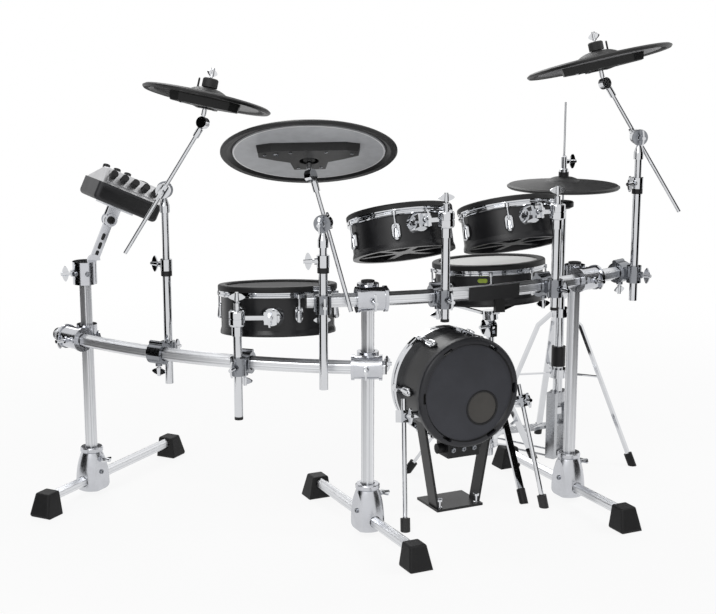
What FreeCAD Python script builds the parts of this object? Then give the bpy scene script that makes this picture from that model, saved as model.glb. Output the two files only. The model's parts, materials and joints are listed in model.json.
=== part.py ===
import FreeCAD, Part
import Sketcher
import math
import os
import re
from FreeCAD import Placement, Rotation, Vector

doc = FreeCAD.newDocument("drum_kit")
sheet = doc.addObject("Spreadsheet::Sheet", "dims")

# Millimetres and degrees. Heights are from the floor unless the name says rise or drop.
SIZES = {
    # Where the middle post stands, seen from the middle of the kit's footprint.
    "middle_post_x": -104.85,
    "middle_post_y": -301.02,
    # Rack tube
    "tube_across": 32,
    "tube_round": 35.6,
    "tube_bore": 26,
    "leg_across": 27,
    "leg_round": 30,
    "leg_bore": 21,
    "cap_thick": 4,
    "cap_inset": 1,
    # Rack layout
    "post_span": 620,
    "wing_span": 836,
    "wing_angle": 131.9,
    "bar_bend": 1300,
    "bar_offset": 42,
    "front_bar_height": 630,
    "side_bar_height": 455,
    "front_bar_left": 162,
    "front_bar_right": 211,
    "side_bar_left": 74,
    "side_bar_right": 46,
    "post_top_rise": 36,
    "left_post_top": 655,
    # Legs
    "leg_height": 45,
    "leg_span": 554,
    "leg_front": 248,
    "left_leg_front": 186,
    "left_leg_angle": 37.6,
    "foot_base_length": 68,
    "foot_top_length": 48,
    "foot_base_width": 66,
    "foot_top_width": 46,
    "foot_height": 64,
    "foot_nose": 56,
    "foot_slope": 20,
    "foot_grip": 10,
    "foot_soften": 7,
    "casting_low": 14,
    "casting_top": 122,
    "casting_base_across": 94,
    "casting_width": 62,
    "casting_neck_across": 58,
    "casting_collar": 15,
    "casting_lip": 2.5,
    "casting_lip_share": 0.2,
    "casting_soften": 12,
    "casting_bulge": 5,
    "casting_boss_drop": 18,
    "casting_split_rise": 4,
    "post_seat": 66,
    # Clamps
    "fit": 0.25,
    "joint_gap": 0.4,
    "bar_fit": 0.8,
    "sleeve_across": 60,
    "sleeve_length": 78,
    "sleeve_flange": 8,
    "sleeve_flange_rise": 3,
    "post_sleeve_across": 56,
    "post_sleeve_height": 66,
    "split": 2.4,
    "arc_share": 0.3,
    "web_share": 0.8,
    "web_rise_share": 0.7,
    "grip_web_share": 0.75,
    "jaw_hinge_share": 0.7,
    "jaw_hinge_in": 6,
    "boss_across": 18,
    "boss_rise": 6,
    "jaw_across": 56,
    "jaw_length": 42,
    "mast_sleeve_across": 40,
    "mast_sleeve_height": 46,
    "mast_offset": 45,
    # Wing bolts
    "bolt_across": 6.4,
    "bolt_stud": 5,
    "bolt_hub_across": 13,
    "bolt_hub": 10,
    "bolt_taper_share": 0.75,
    "bolt_crown": 3,
    "wing_bolt_span": 42,
    "wing_bolt_height": 18,
    "wing_bolt_bow": 66,
    "wing_bolt_thick": 4.5,
    # Plate on the front bar
    "plate_start": -72,
    "plate_length": 148,
    "plate_height": 36,
    "plate_thick": 3,
    # Cymbal masts
    "mast_across": 22.2,
    "riser_across": 19,
    "collar_across": 31,
    "collar_height": 30,
    "collar_boss_share": 0.9,
    "lock_across": 29,
    "lock_height": 14,
    "riser_grip": 150,
    "seat_across": 26,
    "seat_low": 58,
    "seat_shoulder": 40,
    "seat_neck": 20,
    "disc_across": 38,
    "disc_thick": 14,
    "disc_gap": 0.3,
    "disc_neck_in": 1,
    "disc_boss_share": 0.45,
    "boom_across": 10.6,
    "boom_offset": 24,
    "holder_across": 21,
    "holder_length": 36,
    "holder_boss_share": 0.8,
    "end_disc_across": 30,
    "end_disc_thick": 9,
    "end_socket_across": 17,
    "end_socket_length": 26,
    "end_neck_in": 0.4,
    "boom_seat_share": 0.35,
    "disc_relief": 1,
    "stem_across": 8,
    "stem_base_across": 13,
    "stem_base_gap": 2,
    "stem_rise": 54,
    "felt_across": 30,
    "felt_height": 14,
    "felt_slope": 0.094,
    "cap_across": 40,
    "cap_height": 25,
    "cap_soften": 3,
    "pad_hole": 7.2,
    "pad_hub_across": 34,
    "pad_bell_height": 34,
    "pad_flat": 8,
    "pad_base_thick": 4,
    "pad_rubber_edge": 28,
    "pad_lip_in": 16,
    "pad_lip_drop": 7,
    "pad_edge_in": 4,
    "pad_edge_drop": 8,
    "pad_edge_low": 4,
    "pad_edge_high": 1,
    "pad_bow_in": 6,
    "pad_bow_rise": 3,
    "pad_bell_out": 10,
    "pad_bell_low": 12,
    "pad_bell_foot": 15,
    "pad_crown_in": 2,
    "pad_dome_share": 0.62,
    "pad_dome_out": 4,
    "pad_dome_drop": 3.4,
    "plate_gap": 1,
    "sensor_height": 20,
    "sensor_draft": 12,
    "sensor_hole": 48,
    # Left crash
    "crash_left_station": -130,
    "crash_left_drop": 91,
    "crash_left_collar_rise": 243,
    "crash_left_pivot_rise": 424,
    "crash_left_boom_azimuth": -28.1,
    "crash_left_boom_rise": 57.7,
    "crash_left_boom_reach": 206.2,
    "crash_left_boom_tail": 192,
    "crash_left_tilt": 15.7,
    "crash_left_tilt_azimuth": 13,
    "crash_left_across": 330,
    "crash_left_bell_across": 96,
    "crash_left_sensor_length": 180,
    "crash_left_sensor_turn": 116,
    # Ride
    "ride_station": -123.91614,
    "ride_drop": 215,
    "ride_collar_rise": 122,
    "ride_pivot_rise": 199,
    "ride_boom_azimuth": 139.7,
    "ride_boom_rise": 73.7,
    "ride_boom_reach": 118.5,
    "ride_boom_tail": 228,
    "ride_tilt": 25.5,
    "ride_tilt_azimuth": 67,
    "ride_across": 432,
    "ride_bell_across": 120,
    "ride_sensor_length": 250,
    "ride_sensor_turn": 216,
    # Right crash
    "crash_right_station": 148.71614,
    "crash_right_drop": 73,
    "crash_right_collar_rise": 264,
    "crash_right_pivot_rise": 371,
    "crash_right_boom_azimuth": 162,
    "crash_right_boom_rise": 57.9,
    "crash_right_boom_reach": 169,
    "crash_right_boom_tail": 242,
    "crash_right_tilt": 14.8,
    "crash_right_tilt_azimuth": 123,
    "crash_right_across": 390,
    "crash_right_bell_across": 106,
    "crash_right_sensor_length": 220,
    "crash_right_sensor_turn": 241,
    # Drum pads, shared
    "shell_wall": 14,
    "shell_flare": 3,
    "shell_flare_low": 6,
    "shell_flare_high": 16,
    "shell_mouth": 2,
    "shell_fit": 0.1,
    "spoke_count": 6,
    "shell_pocket": 26,
    "spoke_width": 18,
    "spoke_height": 8,
    "spoke_low": 5,
    "spoke_hub_across": 60,
    "hoop_height": 15,
    "hoop_reach": 8,
    "hoop_groove": 4.5,
    "hoop_low_share": 0.84,
    "hoop_waist_low_share": 0.62,
    "hoop_waist_foot_share": 0.5,
    "hoop_waist_head_share": 0.34,
    "hoop_high_share": 0.2,
    "ear_width": 12,
    "ear_reach": 13,
    "ear_height": 10,
    "rod_across": 5.2,
    "rod_length": 30,
    "lug_width": 15,
    "lug_depth": 14,
    "lug_height": 20,
    "lug_sink": 2,
    "lug_taper_share": 0.7,
    "lug_foot_share": 0.8,
    "rod_out_share": 0.6,
    "lug_turn": 30,
    "lug_clear_turn": 4,
    "rim_height": 15,
    "rim_overhang": 8,
    "rim_width": 21,
    "rim_soften": 5,
    "rim_foot": 1,
    "rim_foot_rise": 1.5,
    "rim_inner_soften": 3,
    "head_thick": 9,
    "hex_across": 11,
    "hex_room_share": 1.3,
    "ball_across": 29,
    "bracket_stand": 28,
    "bracket_across": 46,
    "bracket_width": 62,
    "bracket_sink": 4,
    "bracket_rise_share": 0.45,
    "bracket_taper_share": 0.72,
    "receiver_size": 32,
    "rod_seat_share": 0.7,
    "ball_clamp_size": 42,
    "ball_clamp_soften": 6,
    "ball_clamp_groove": 2,
    "ball_clamp_sink": 2,
    "ball_collar_across": 29,
    "ball_collar_height": 26,
    "handle_boss": 20,
    "handle_share": 0.8,
    # Left and right toms
    "tom_shell_across": 257,
    "tom_shell_height": 98,
    "tom_tilt": 18.5,
    "tom_tilt_azimuth": 87,
    "tom_bracket_azimuth": -96.6,
    "tom_bracket_level": 58,
    "tom_rod_length": 62,
    "tom_left_station": -148.2,
    "tom_right_station": 167.7,
    "tom_ball_rise": 200,
    "tom_post_drop": 50,
    # Floor tom
    "floor_tom_shell_across": 296,
    "floor_tom_shell_height": 112,
    "floor_tom_tilt": 6.8,
    "floor_tom_tilt_azimuth": 70,
    "floor_tom_bracket_azimuth": -118,
    "floor_tom_bracket_level": 52,
    "floor_tom_rod_length": 85,
    "floor_tom_station": 122.6,
    "floor_tom_ball_rise": 124,
    "floor_tom_post_drop": 131,
    # Snare and its stand
    "snare_x": -105,
    "snare_y": 258,
    "snare_shell_across": 304,
    "snare_shell_height": 100,
    "snare_tilt": 4.5,
    "snare_tilt_azimuth": 99,
    "snare_pivot_height": 452,
    "snare_pivot_drop": 76,
    "basket_hub_across": 44,
    "basket_hub_height": 26,
    "basket_arm_width": 14,
    "basket_arm_thick": 7,
    "basket_pivot_across": 17,
    "basket_pivot_share": 0.7,
    "basket_gap": 4,
    "tongue_root": 6,
    "snare_lug_count": 8,
    "basket_azimuth": -60,
    "grip_width": 26,
    "grip_reach": 16,
    "grip_shelf": 18,
    "grip_thick": 13,
    "grip_rise": 24,
    "fork_gap": 0.4,
    "fork_thick": 8,
    "fork_across": 30,
    "snare_tube_across": 28.6,
    "snare_riser_across": 22.2,
    "snare_collar_height": 352,
    "snare_collar_across": 40,
    "snare_tube_low": 70,
    "snare_riser_grip": 120,
    "snare_leg_top": 300,
    "snare_leg_reach": 232,
    "snare_leg_right": 24,
    "snare_leg_rear": 144,
    "snare_leg_left": 264,
    "snare_knee_out": 56,
    "snare_knee_drop": 26,
    "snare_brace_low": 110,
    "snare_brace_share": 0.51,
    # Tripod legs, both stands
    "tripod_leg_width": 18,
    "tripod_leg_thick": 9,
    "tripod_hub_across": 54,
    "tripod_hub_height": 26,
    "tripod_root": 6,
    "foot_cap_share": 0.6,
    "brace_width": 10,
    "brace_thick": 4,
    "stand_foot_across": 24,
    "stand_foot_length": 44,
    # Hi-hat stand
    "hihat_x": 188,
    "hihat_y": 347,
    "hihat_tube_across": 28.6,
    "hihat_upper_across": 22.2,
    "hihat_leg_top": 449,
    "hihat_leg_reach": 232,
    "hihat_leg_right": -49.5,
    "hihat_leg_rear": 70.5,
    "hihat_leg_left": 165,
    "hihat_knee_out": 66,
    "hihat_knee_drop": 38,
    "hihat_brace_low": 262,
    "hihat_brace_share": 0.373,
    "hihat_tube_low": 205,
    "hihat_upper_top": 761,
    "hihat_collar_height": 530,
    "hihat_collar_across": 40,
    "hihat_sleeve_low": 284,
    "hihat_sleeve_high": 344,
    "hihat_sleeve_across": 42,
    "hihat_rod_across": 6.4,
    "hihat_rod_room": 4,
    "hihat_tip_across": 6,
    "hihat_rod_top": 1072,
    "hihat_seat_height": 22,
    "hihat_seat_across": 64,
    "hihat_seat_waist": 12,
    "hihat_seat_foot": 6,
    "hihat_seat_soften": 3,
    "hihat_travel_room": 24,
    "hihat_pad_across": 330,
    "hihat_bell_across": 96,
    "hihat_clutch_height": 48,
    "hihat_clutch_across": 17,
    "clutch_lip": 2,
    "clutch_flange": 8,
    "clutch_taper": 11,
    "clutch_shoulder": 4,
    "clutch_soften": 3,
    "clutch_bolt_rise": 30,
    "pedal_azimuth": 116,
    "pedal_frame_width": 74,
    "pedal_frame_depth": 30,
    "pedal_frame_post": 15,
    "pedal_frame_low": 8,
    "pedal_frame_high": 205,
    "pedal_length": 236,
    "pedal_hinge_back": 252,
    "pedal_hinge_height": 26,
    "pedal_width": 84,
    "pedal_thick": 9,
    "pedal_rise": 16,
    "pedal_tongue": 30,
    "clevis_drop": 60,
    "frame_head": 32,
    "frame_collar": 14,
    "heel_lap": 8,
    "heel_ear_share": 0.16,
    "board_share": 0.66,
    "tread_share": 0.8,
    "heel_length": 58,
    "heel_thick": 10,
    "radius_rod_across": 6,
    "strap_width": 20,
    "strap_thick": 3,
    # Kick pad
    "kick_x": -1,
    "kick_y": 12,
    "kick_height": 337,
    "kick_cover_across": 302,
    "kick_cover_depth": 22,
    "kick_cover_soften": 10,
    "kick_cover_dish": 6,
    "kick_cover_wall": 5,
    "kick_cover_lip": 6,
    "kick_pane_inset": 1,
    "kick_ring_width": 17,
    "kick_ring_slope": 4,
    "kick_shell_across": 280,
    "kick_shell_length": 112,
    "kick_hoop_across": 306,
    "kick_hoop_depth": 30,
    "kick_hoop_in": 12,
    "kick_hoop_groove": 4,
    "kick_hoop_low_share": 0.4,
    "kick_hoop_high_share": 0.6,
    "kick_lug_count": 6,
    "kick_lug_height": 40,
    "kick_rod_length": 24,
    "kick_head_thick": 8,
    "kick_slot_count": 6,
    "kick_slot_length": 30,
    "kick_slot_width": 9,
    "kick_slot_reach": 136,
    "kick_window_across": 88,
    "kick_window_x": 41,
    "kick_window_drop": 46,
    "kick_plate_width": 142,
    "kick_plate_front": 44,
    "kick_plate_depth": 118,
    "kick_plate_thick": 7,
    "kick_strap_width": 46,
    "kick_strap_thick": 7,
    "kick_strap_foot": 62,
    "kick_strap_lean": 10,
    "kick_strap_length": 262,
    "kick_box_width": 96,
    "kick_box_depth": 64,
    "kick_box_height": 44,
    "kick_box_tuck": 20,
    "kick_box_forward": 16,
    "kick_knob_across": 28,
    "spur_reach": 182,
    "spur_back": 32,
    "spur_clamp_height": 288,
    "spur_clamp_size": 32,
    "spur_arm_across": 20,
    "spur_across": 12.7,
    "spur_head": 46,
    "spur_splay": 32,
    "spur_advance": 75,
    "spur_foot_across": 26,
    "spur_foot_length": 34,
    # Module
    "module_tilt": 25,
    "module_length": 188,
    "module_shift": 6,
    "module_depth": 160,
    "module_thick": 50,
    "module_corner": 12,
    "cover_inset": 3,
    "cover_soften": 7,
    "ridge_inset": 8,
    "ridge_height": 42,
    "ridge_near": 34,
    "ridge_far": 60,
    "panel_thick": 3,
    "panel_margin": 15,
    "knob_pitch": 32,
    "dial_x": 52,
    "pin_across": 10,
    "arm_foot_x": 26,
    "arm_rise": 120,
    "arm_lean": 23.6,
    "arm_width": 24,
    "arm_thick": 10,
    "eye_across": 34,
    "eye_thick": 14,
    "top_clamp_across": 66,
    "top_clamp_height": 62,
    "top_clamp_lip": 8,
    "bracket_plate_length": 90,
    "bracket_plate_width": 70,
    "bracket_plate_thick": 5,
    "bracket_ear_height": 33,
    "dial_across": 44,
    "dial_height": 14,
    "knob_across": 20,
    "knob_height": 18,
}

for row, (alias, number) in enumerate(SIZES.items(), 1):
    sheet.set(f"A{row}", alias)
    sheet.set(f"B{row}", str(number))
    sheet.setAlias(f"B{row}", alias)
doc.recompute()

WORD = re.compile(r"[A-Za-z_]\w*")
UP = Vector(0, 0, 1)
HERE = Vector(0, 0, 0)
RIGHT = Vector(1, 0, 0)
BACK = Vector(0, 1, 0)


def value(text):
    return float(sheet.evalExpression(text))


def bound(text):
    return WORD.sub(lambda word: "dims." + word[0] if word[0] in SIZES else word[0], text)


def compass(azimuth, rise=0):
    flat = math.cos(math.radians(rise))
    turn = math.radians(azimuth)
    return Vector(flat * math.cos(turn), flat * math.sin(turn), math.sin(math.radians(rise)))


def leaning(tilt, azimuth):
    return compass(azimuth, 90 - tilt)


def facing(origin=HERE, z=UP, x=RIGHT):
    if x.cross(z).Length < 1e-6:
        x = BACK
    return Placement(Vector(origin), Rotation(Vector(x), Vector(), Vector(z), "ZXY"))


def moved(x=0, y=0, z=0):
    return Placement(Vector(x, y, z), Rotation())


def turned_by(angle, axis=UP):
    return Placement(HERE, Rotation(axis, angle))


SHIFT = moved(value("middle_post_x"), value("middle_post_y"), 0)


def primitive(kind, place, sizes):
    piece = doc.addObject("Part::" + kind, kind.lower())
    for prop, text in sizes.items():
        piece.setExpression(prop, bound(text))
    piece.Placement = place
    return piece


def rod(across, length, origin=HERE, axis=UP):
    return primitive("Cylinder", facing(origin, axis), {"Radius": f"({across}) / 2", "Height": length})


def cone(low_across, high_across, length, origin=HERE, axis=UP):
    sizes = {"Radius1": f"({low_across}) / 2", "Radius2": f"({high_across}) / 2", "Height": length}
    return primitive("Cone", facing(origin, axis), sizes)


def ball(across, origin=HERE):
    return primitive("Sphere", moved(*origin), {"Radius": f"({across}) / 2"})


def block(length, width, height, place=None, shares=(0.5, 0.5, 0.5)):
    corner = [-share * value(text) for share, text in zip(shares, (length, width, height))]
    place = (place or moved()).multiply(moved(*corner))
    return primitive("Box", place, {"Length": length, "Width": width, "Height": height})


def hexagon(across, length, origin=HERE, axis=UP, side=RIGHT):
    piece = primitive("Prism", facing(origin, axis, side), {
        "Circumradius": f"({across}) / sqrt(3)", "Height": length})
    piece.Polygon = 6
    return piece


def fuse(*pieces):
    if len(pieces) == 1:
        return pieces[0]
    joined = doc.addObject("Part::MultiFuse", "fuse")
    joined.Shapes = list(pieces)
    return joined


def cut(base, *tools):
    rest = doc.addObject("Part::Cut", "cut")
    rest.Base = base
    rest.Tool = fuse(*tools)
    return rest


def common(*pieces):
    shared = doc.addObject("Part::MultiCommon", "common")
    shared.Shapes = list(pieces)
    return shared


def placed(piece, place):
    link = doc.addObject("App::Link", "link")
    link.LinkedObject = piece
    link.LinkTransform = True
    link.Placement = place
    return link


def around(piece, count, start=0):
    return [placed(piece, turned_by(start + 360 * step / count)) for step in range(count)]


def tube(across, bore, length, origin=HERE, axis=UP):
    return cut(rod(across, length, origin, axis), rod(bore, length, origin, axis))


def sketched(role, outline, arcs=()):
    """A body with a closed sketch on one of its planes; outline is pairs of texts, arcs index: bulge point."""
    body = doc.addObject("PartDesign::Body", "body")
    sketch = body.newObject("Sketcher::SketchObject", "outline")
    plane = next(part for part in body.Origin.OriginFeatures if part.Role == role)
    sketch.AttachmentSupport = [(plane, "")]
    sketch.MapMode = "FlatFace"
    points = [Vector(value(across), value(up), 0) for across, up in outline]
    bulges = dict(arcs)
    ends = []
    for step, start in enumerate(points):
        stop = points[(step + 1) % len(points)]
        if step in bulges:
            across, up = bulges[step]
            middle = Vector(value(across), value(up), 0)
            sketch.addGeometry(Part.Arc(start, middle, stop))
        else:
            sketch.addGeometry(Part.LineSegment(start, stop))
        near = (sketch.getPoint(step, 1) - start).Length < 1e-6
        ends.append((1, 2) if near else (2, 1))
    for step in range(len(points)):
        following = (step + 1) % len(points)
        sketch.addConstraint(
            Sketcher.Constraint("Coincident", step, ends[step][1], following, ends[following][0]))
    for step, pair in enumerate(outline):
        for kind, coordinate in zip(("DistanceX", "DistanceY"), pair):
            index = sketch.addConstraint(
                Sketcher.Constraint(kind, -1, 1, step, ends[step][0], value(coordinate)))
            sketch.setExpression(f"Constraints[{index}]", bound(coordinate))
    return body, sketch


def turned(outline, arcs=()):
    """A solid of revolution about z; outline is (radius, height) texts."""
    body, sketch = sketched("XZ_Plane", outline, arcs)
    revolution = body.newObject("PartDesign::Revolution", "revolution")
    revolution.Profile = sketch
    revolution.ReferenceAxis = (sketch, ["V_Axis"])
    revolution.Angle = 360
    return body


def moulded(outline, height, draft):
    """A flat housing that rises from z zero and narrows by its draft angle."""
    body, sketch = sketched("XY_Plane", outline)
    pad = body.newObject("PartDesign::Pad", "pad")
    pad.Profile = sketch
    pad.setExpression("Length", bound(height))
    pad.setExpression("TaperAngle", bound(f"-{draft}"))
    return body


def softened(piece, radius, picks):
    """Rounds the edges of a plain piece that picks chooses by their lowest and highest points."""
    doc.recompute()
    rounded = doc.addObject("Part::Fillet", "fillet")
    rounded.Base = piece
    chosen = []
    for index, edge in enumerate(piece.Shape.Edges, 1):
        ends = sorted((vertex.Point for vertex in edge.Vertexes), key=lambda point: point.z)
        if picks(ends[0], ends[-1]):
            chosen.append((index, value(radius), value(radius)))
    rounded.Edges = chosen
    return rounded


NODES = {}


def node(label, pieces):
    """Adds solids, placed in the kit's frame, to one named sub-component."""
    links = NODES.setdefault(label, [])
    links += [placed(piece, SHIFT.multiply(place or moved())) for piece, place in pieces]


def group_nodes():
    for label, links in NODES.items():
        group = doc.addObject("Part::Compound", label)
        group.Label = label
        group.Links = links
        NODES[label] = group


# Rack layout
MIDDLE = Vector(0, 0, 0)
RIGHT_POST = Vector(value("post_span"), 0, 0)
LEFT_POST = compass(value("wing_angle")) * value("wing_span")


def standing(name, start):
    """Where a piece stands on the floor, counted from start."""
    return start + Vector(value(f"{name}_x"), value(f"{name}_y"), 0)


class Bow:
    """The arc that one bar follows, past two posts; stations are arc lengths from its middle."""

    def __init__(self, first, second, height):
        self.bend = value("bar_bend")
        self.along = (second - first).normalize()
        self.inward = UP.cross(self.along)
        half = (second - first).Length / 2
        reach = self.bend - value("bar_offset")
        self.centre = (first + second) / 2 + self.inward * math.sqrt(reach ** 2 - half ** 2)
        self.centre.z = value(height)
        self.post_station = self.bend * math.asin(half / reach)

    def outward(self, station):
        turn = station / self.bend
        return self.inward * -math.cos(turn) + self.along * math.sin(turn)

    def tangent(self, station):
        return UP.cross(self.outward(station))

    def point(self, station, offset=0):
        return self.centre + self.outward(station) * (self.bend + offset)

    def frame(self, station, outside=True):
        y = self.outward(station) * (1 if outside else -1)
        return facing(self.point(station), UP, y.cross(UP))


FRONT = Bow(MIDDLE, RIGHT_POST, "front_bar_height")
SIDE = Bow(LEFT_POST, MIDDLE, "side_bar_height")


def hollow(hexed, rounded, bore):
    return cut(common(hexed, rounded), bore)


def straight_tube(prefix, length):
    hexed = hexagon(f"{prefix}_across", length)
    return hollow(hexed, rod(f"{prefix}_round", length), rod(f"{prefix}_bore", length))


def swept(section, angle):
    sweep = doc.addObject("Part::Revolution", "sweep")
    sweep.Source = section
    sweep.Base = HERE
    sweep.Axis = UP
    sweep.Solid = True
    sweep.setExpression("Angle", bound(angle))
    section.Placement = facing(Vector(value("bar_bend"), 0, 0), BACK * -1, UP)
    return sweep


def bowed_tube(angle):
    outer = primitive("RegularPolygon", moved(), {"Circumradius": "tube_across / sqrt(3)"})
    outer.Polygon = 6
    rounded = primitive("Circle", moved(), {"Radius": "tube_round / 2"})
    bore = primitive("Circle", moved(), {"Radius": "tube_bore / 2"})
    return hollow(swept(outer, angle), swept(rounded, angle), swept(bore, angle))


def bow_place(bow, station):
    return facing(bow.centre, UP, bow.outward(station))


def make_rack():
    upright = straight_tube("tube", "front_bar_height + post_top_rise - post_seat")
    left = straight_tube("tube", "left_post_top - post_seat")
    seat = value("post_seat")
    lift = moved(0, 0, seat)
    side_turn = facing(LEFT_POST + UP * seat, UP, compass(value("wing_angle")))
    node("rack_posts", [(upright, lift), (upright, moved(RIGHT_POST.x, 0, seat)), (left, side_turn)])
    for label, bow, name in (("front_bar", FRONT, "front"), ("side_bar", SIDE, "side")):
        start = bow.post_station + value(f"{name}_bar_left")
        finish = bow.post_station + value(f"{name}_bar_right")
        bow.ends = (-start, finish)
        span = "post_span" if name == "front" else "wing_span"
        angle = (f"2 * asin({span} / 2 / (bar_bend - bar_offset)) / 1 deg"
                 f" + ({name}_bar_left + {name}_bar_right) / bar_bend * 180 / pi")
        node(label, [(bowed_tube(angle), bow_place(bow, -start))])
    # Caps close the bar ends and the two short posts.
    cap = rod("tube_round - cap_inset", "cap_thick")
    plug = [(cap, facing(bow.point(bow.ends[0]), bow.tangent(bow.ends[0]) * -1)) for bow in (FRONT, SIDE)]
    plug += [(cap, facing(bow.point(bow.ends[1]), bow.tangent(bow.ends[1]))) for bow in (FRONT, SIDE)]
    top = value("front_bar_height + post_top_rise")
    plug += [(cap, moved(0, 0, top)), (cap, moved(RIGHT_POST.x, 0, top))]
    return plug


def wing_bolt():
    level = value("bolt_stud + bolt_hub")
    thick = value("wing_bolt_thick")
    sweep = value("(wing_bolt_bow - wing_bolt_height) / 2")
    # The wing: two wide discs share an oval, whose ends a third disc rounds.
    discs = [rod("wing_bolt_bow", "wing_bolt_thick", Vector(0, thick / 2, level + way * sweep), BACK * -1)
             for way in (-1, 1)]
    wing = common(*discs, rod("wing_bolt_span", "wing_bolt_thick", Vector(0, thick / 2, level), BACK * -1))
    hub = cone("bolt_hub_across", "bolt_hub_across * bolt_taper_share",
               "bolt_hub + wing_bolt_height / 2 + bolt_crown", Vector(0, 0, value("bolt_stud")))
    return fuse(rod("bolt_across", "bolt_stud + bolt_hub"), hub, wing)


BOLT = wing_bolt()
RACK_BOLTS = []
CHROME_BORE = "tube_round + 2 * bar_fit"


def bolt_at(place, point, axis, bolts, side=None):
    """Stands a wing bolt on a boss that belongs to the clamp at place."""
    bolts.append((BOLT, place.multiply(facing(point, axis, side or UP))))


def make_legs():
    angle_back = value("left_leg_angle")
    legs = [(MIDDLE, 90, "leg_front"), (RIGHT_POST, 90, "leg_front"), (LEFT_POST, angle_back, "left_leg_front")]
    level = value("leg_height")
    pipe = straight_tube("leg", "leg_span + 2 * foot_grip")
    # The casting: a bell flattened on two sides, with a lipped collar round the post and a hole for the leg.
    base = "casting_base_across / 2"
    neck = "casting_neck_across / 2"
    bell = common(
        turned([
            ("0", "casting_low"), (f"{base} - casting_soften", "casting_low"),
            (base, "casting_low + casting_soften"), (neck, "casting_top"), ("0", "casting_top")], {
                1: (f"{base} - casting_soften * arc_share", "casting_low + casting_soften * arc_share"),
                2: (f"({base} + {neck}) / 2 + casting_bulge", "(casting_low + casting_soften + casting_top) / 2")}),
        block("casting_base_across", "casting_width", "casting_top", shares=(0.5, 0.5, 0)))
    top = "casting_top + casting_collar"
    ring = turned([
        ("0", "casting_top"), (neck, "casting_top"),
        (f"{neck} + casting_lip", "casting_top + casting_collar * casting_lip_share"),
        (f"{neck} + casting_lip", f"{top} - casting_collar * casting_lip_share"), (neck, top), ("0", top)])
    boss_low = value("casting_top - casting_boss_drop")
    boss_end = value("casting_neck_across / 2 + boss_rise")
    boss = rod("boss_across", "casting_neck_across / 2 + boss_rise", Vector(0, 0, boss_low), BACK * -1)
    wide = value("casting_base_across")
    casting = cut(
        fuse(bell, ring, boss),
        rod("leg_round + 2 * fit", "casting_base_across * 2", Vector(-wide, 0, level), RIGHT),
        rod(CHROME_BORE, "casting_top + casting_collar", Vector(0, 0, value("post_seat"))),
        block("casting_base_across", "split", "casting_top", moved(0, 0, value("post_seat + casting_split_rise")),
              shares=(0, 0.5, 0)))
    wedge = doc.addObject("Part::Wedge", "foot")
    for prop, text in {
            "Xmin": "foot_nose - foot_base_length", "Xmax": "foot_nose",
            "X2min": "foot_nose - foot_slope - foot_top_length", "X2max": "foot_nose - foot_slope",
            "Ymin": "0", "Ymax": "foot_height",
            "Zmin": "-foot_base_width / 2", "Zmax": "foot_base_width / 2",
            "Z2min": "-foot_top_width / 2", "Z2max": "foot_top_width / 2"}.items():
        wedge.setExpression(prop, bound(text))
    wedge.Placement = Placement(HERE, Rotation(RIGHT, 90))
    deep = value("foot_base_length")
    boot = softened(wedge, "foot_soften", lambda low, high: high.z > 0)
    foot = cut(boot, rod("leg_round + 2 * fit", "foot_base_length + foot_grip",
                          Vector(-deep, 0, level), RIGHT))
    tubes, castings, feet = [], [], []
    for post, angle, front in legs:
        way = compass(angle)
        frame = facing(post, UP, way)
        near = value(front)
        castings.append((casting, frame))
        bolt_at(frame, Vector(0, -boss_end, boss_low), BACK * -1, RACK_BOLTS, RIGHT)
        tubes.append((pipe, facing(post - way * (near + value("foot_grip")) + UP * level, way, UP)))
        feet.append((foot, facing(post - way * near, UP, way * -1)))
        feet.append((foot, facing(post + way * (value("leg_span") - near), UP, way)))
    node("leg_tubes", tubes)
    node("leg_castings", castings)
    node("rubber_feet", feet)


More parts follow.
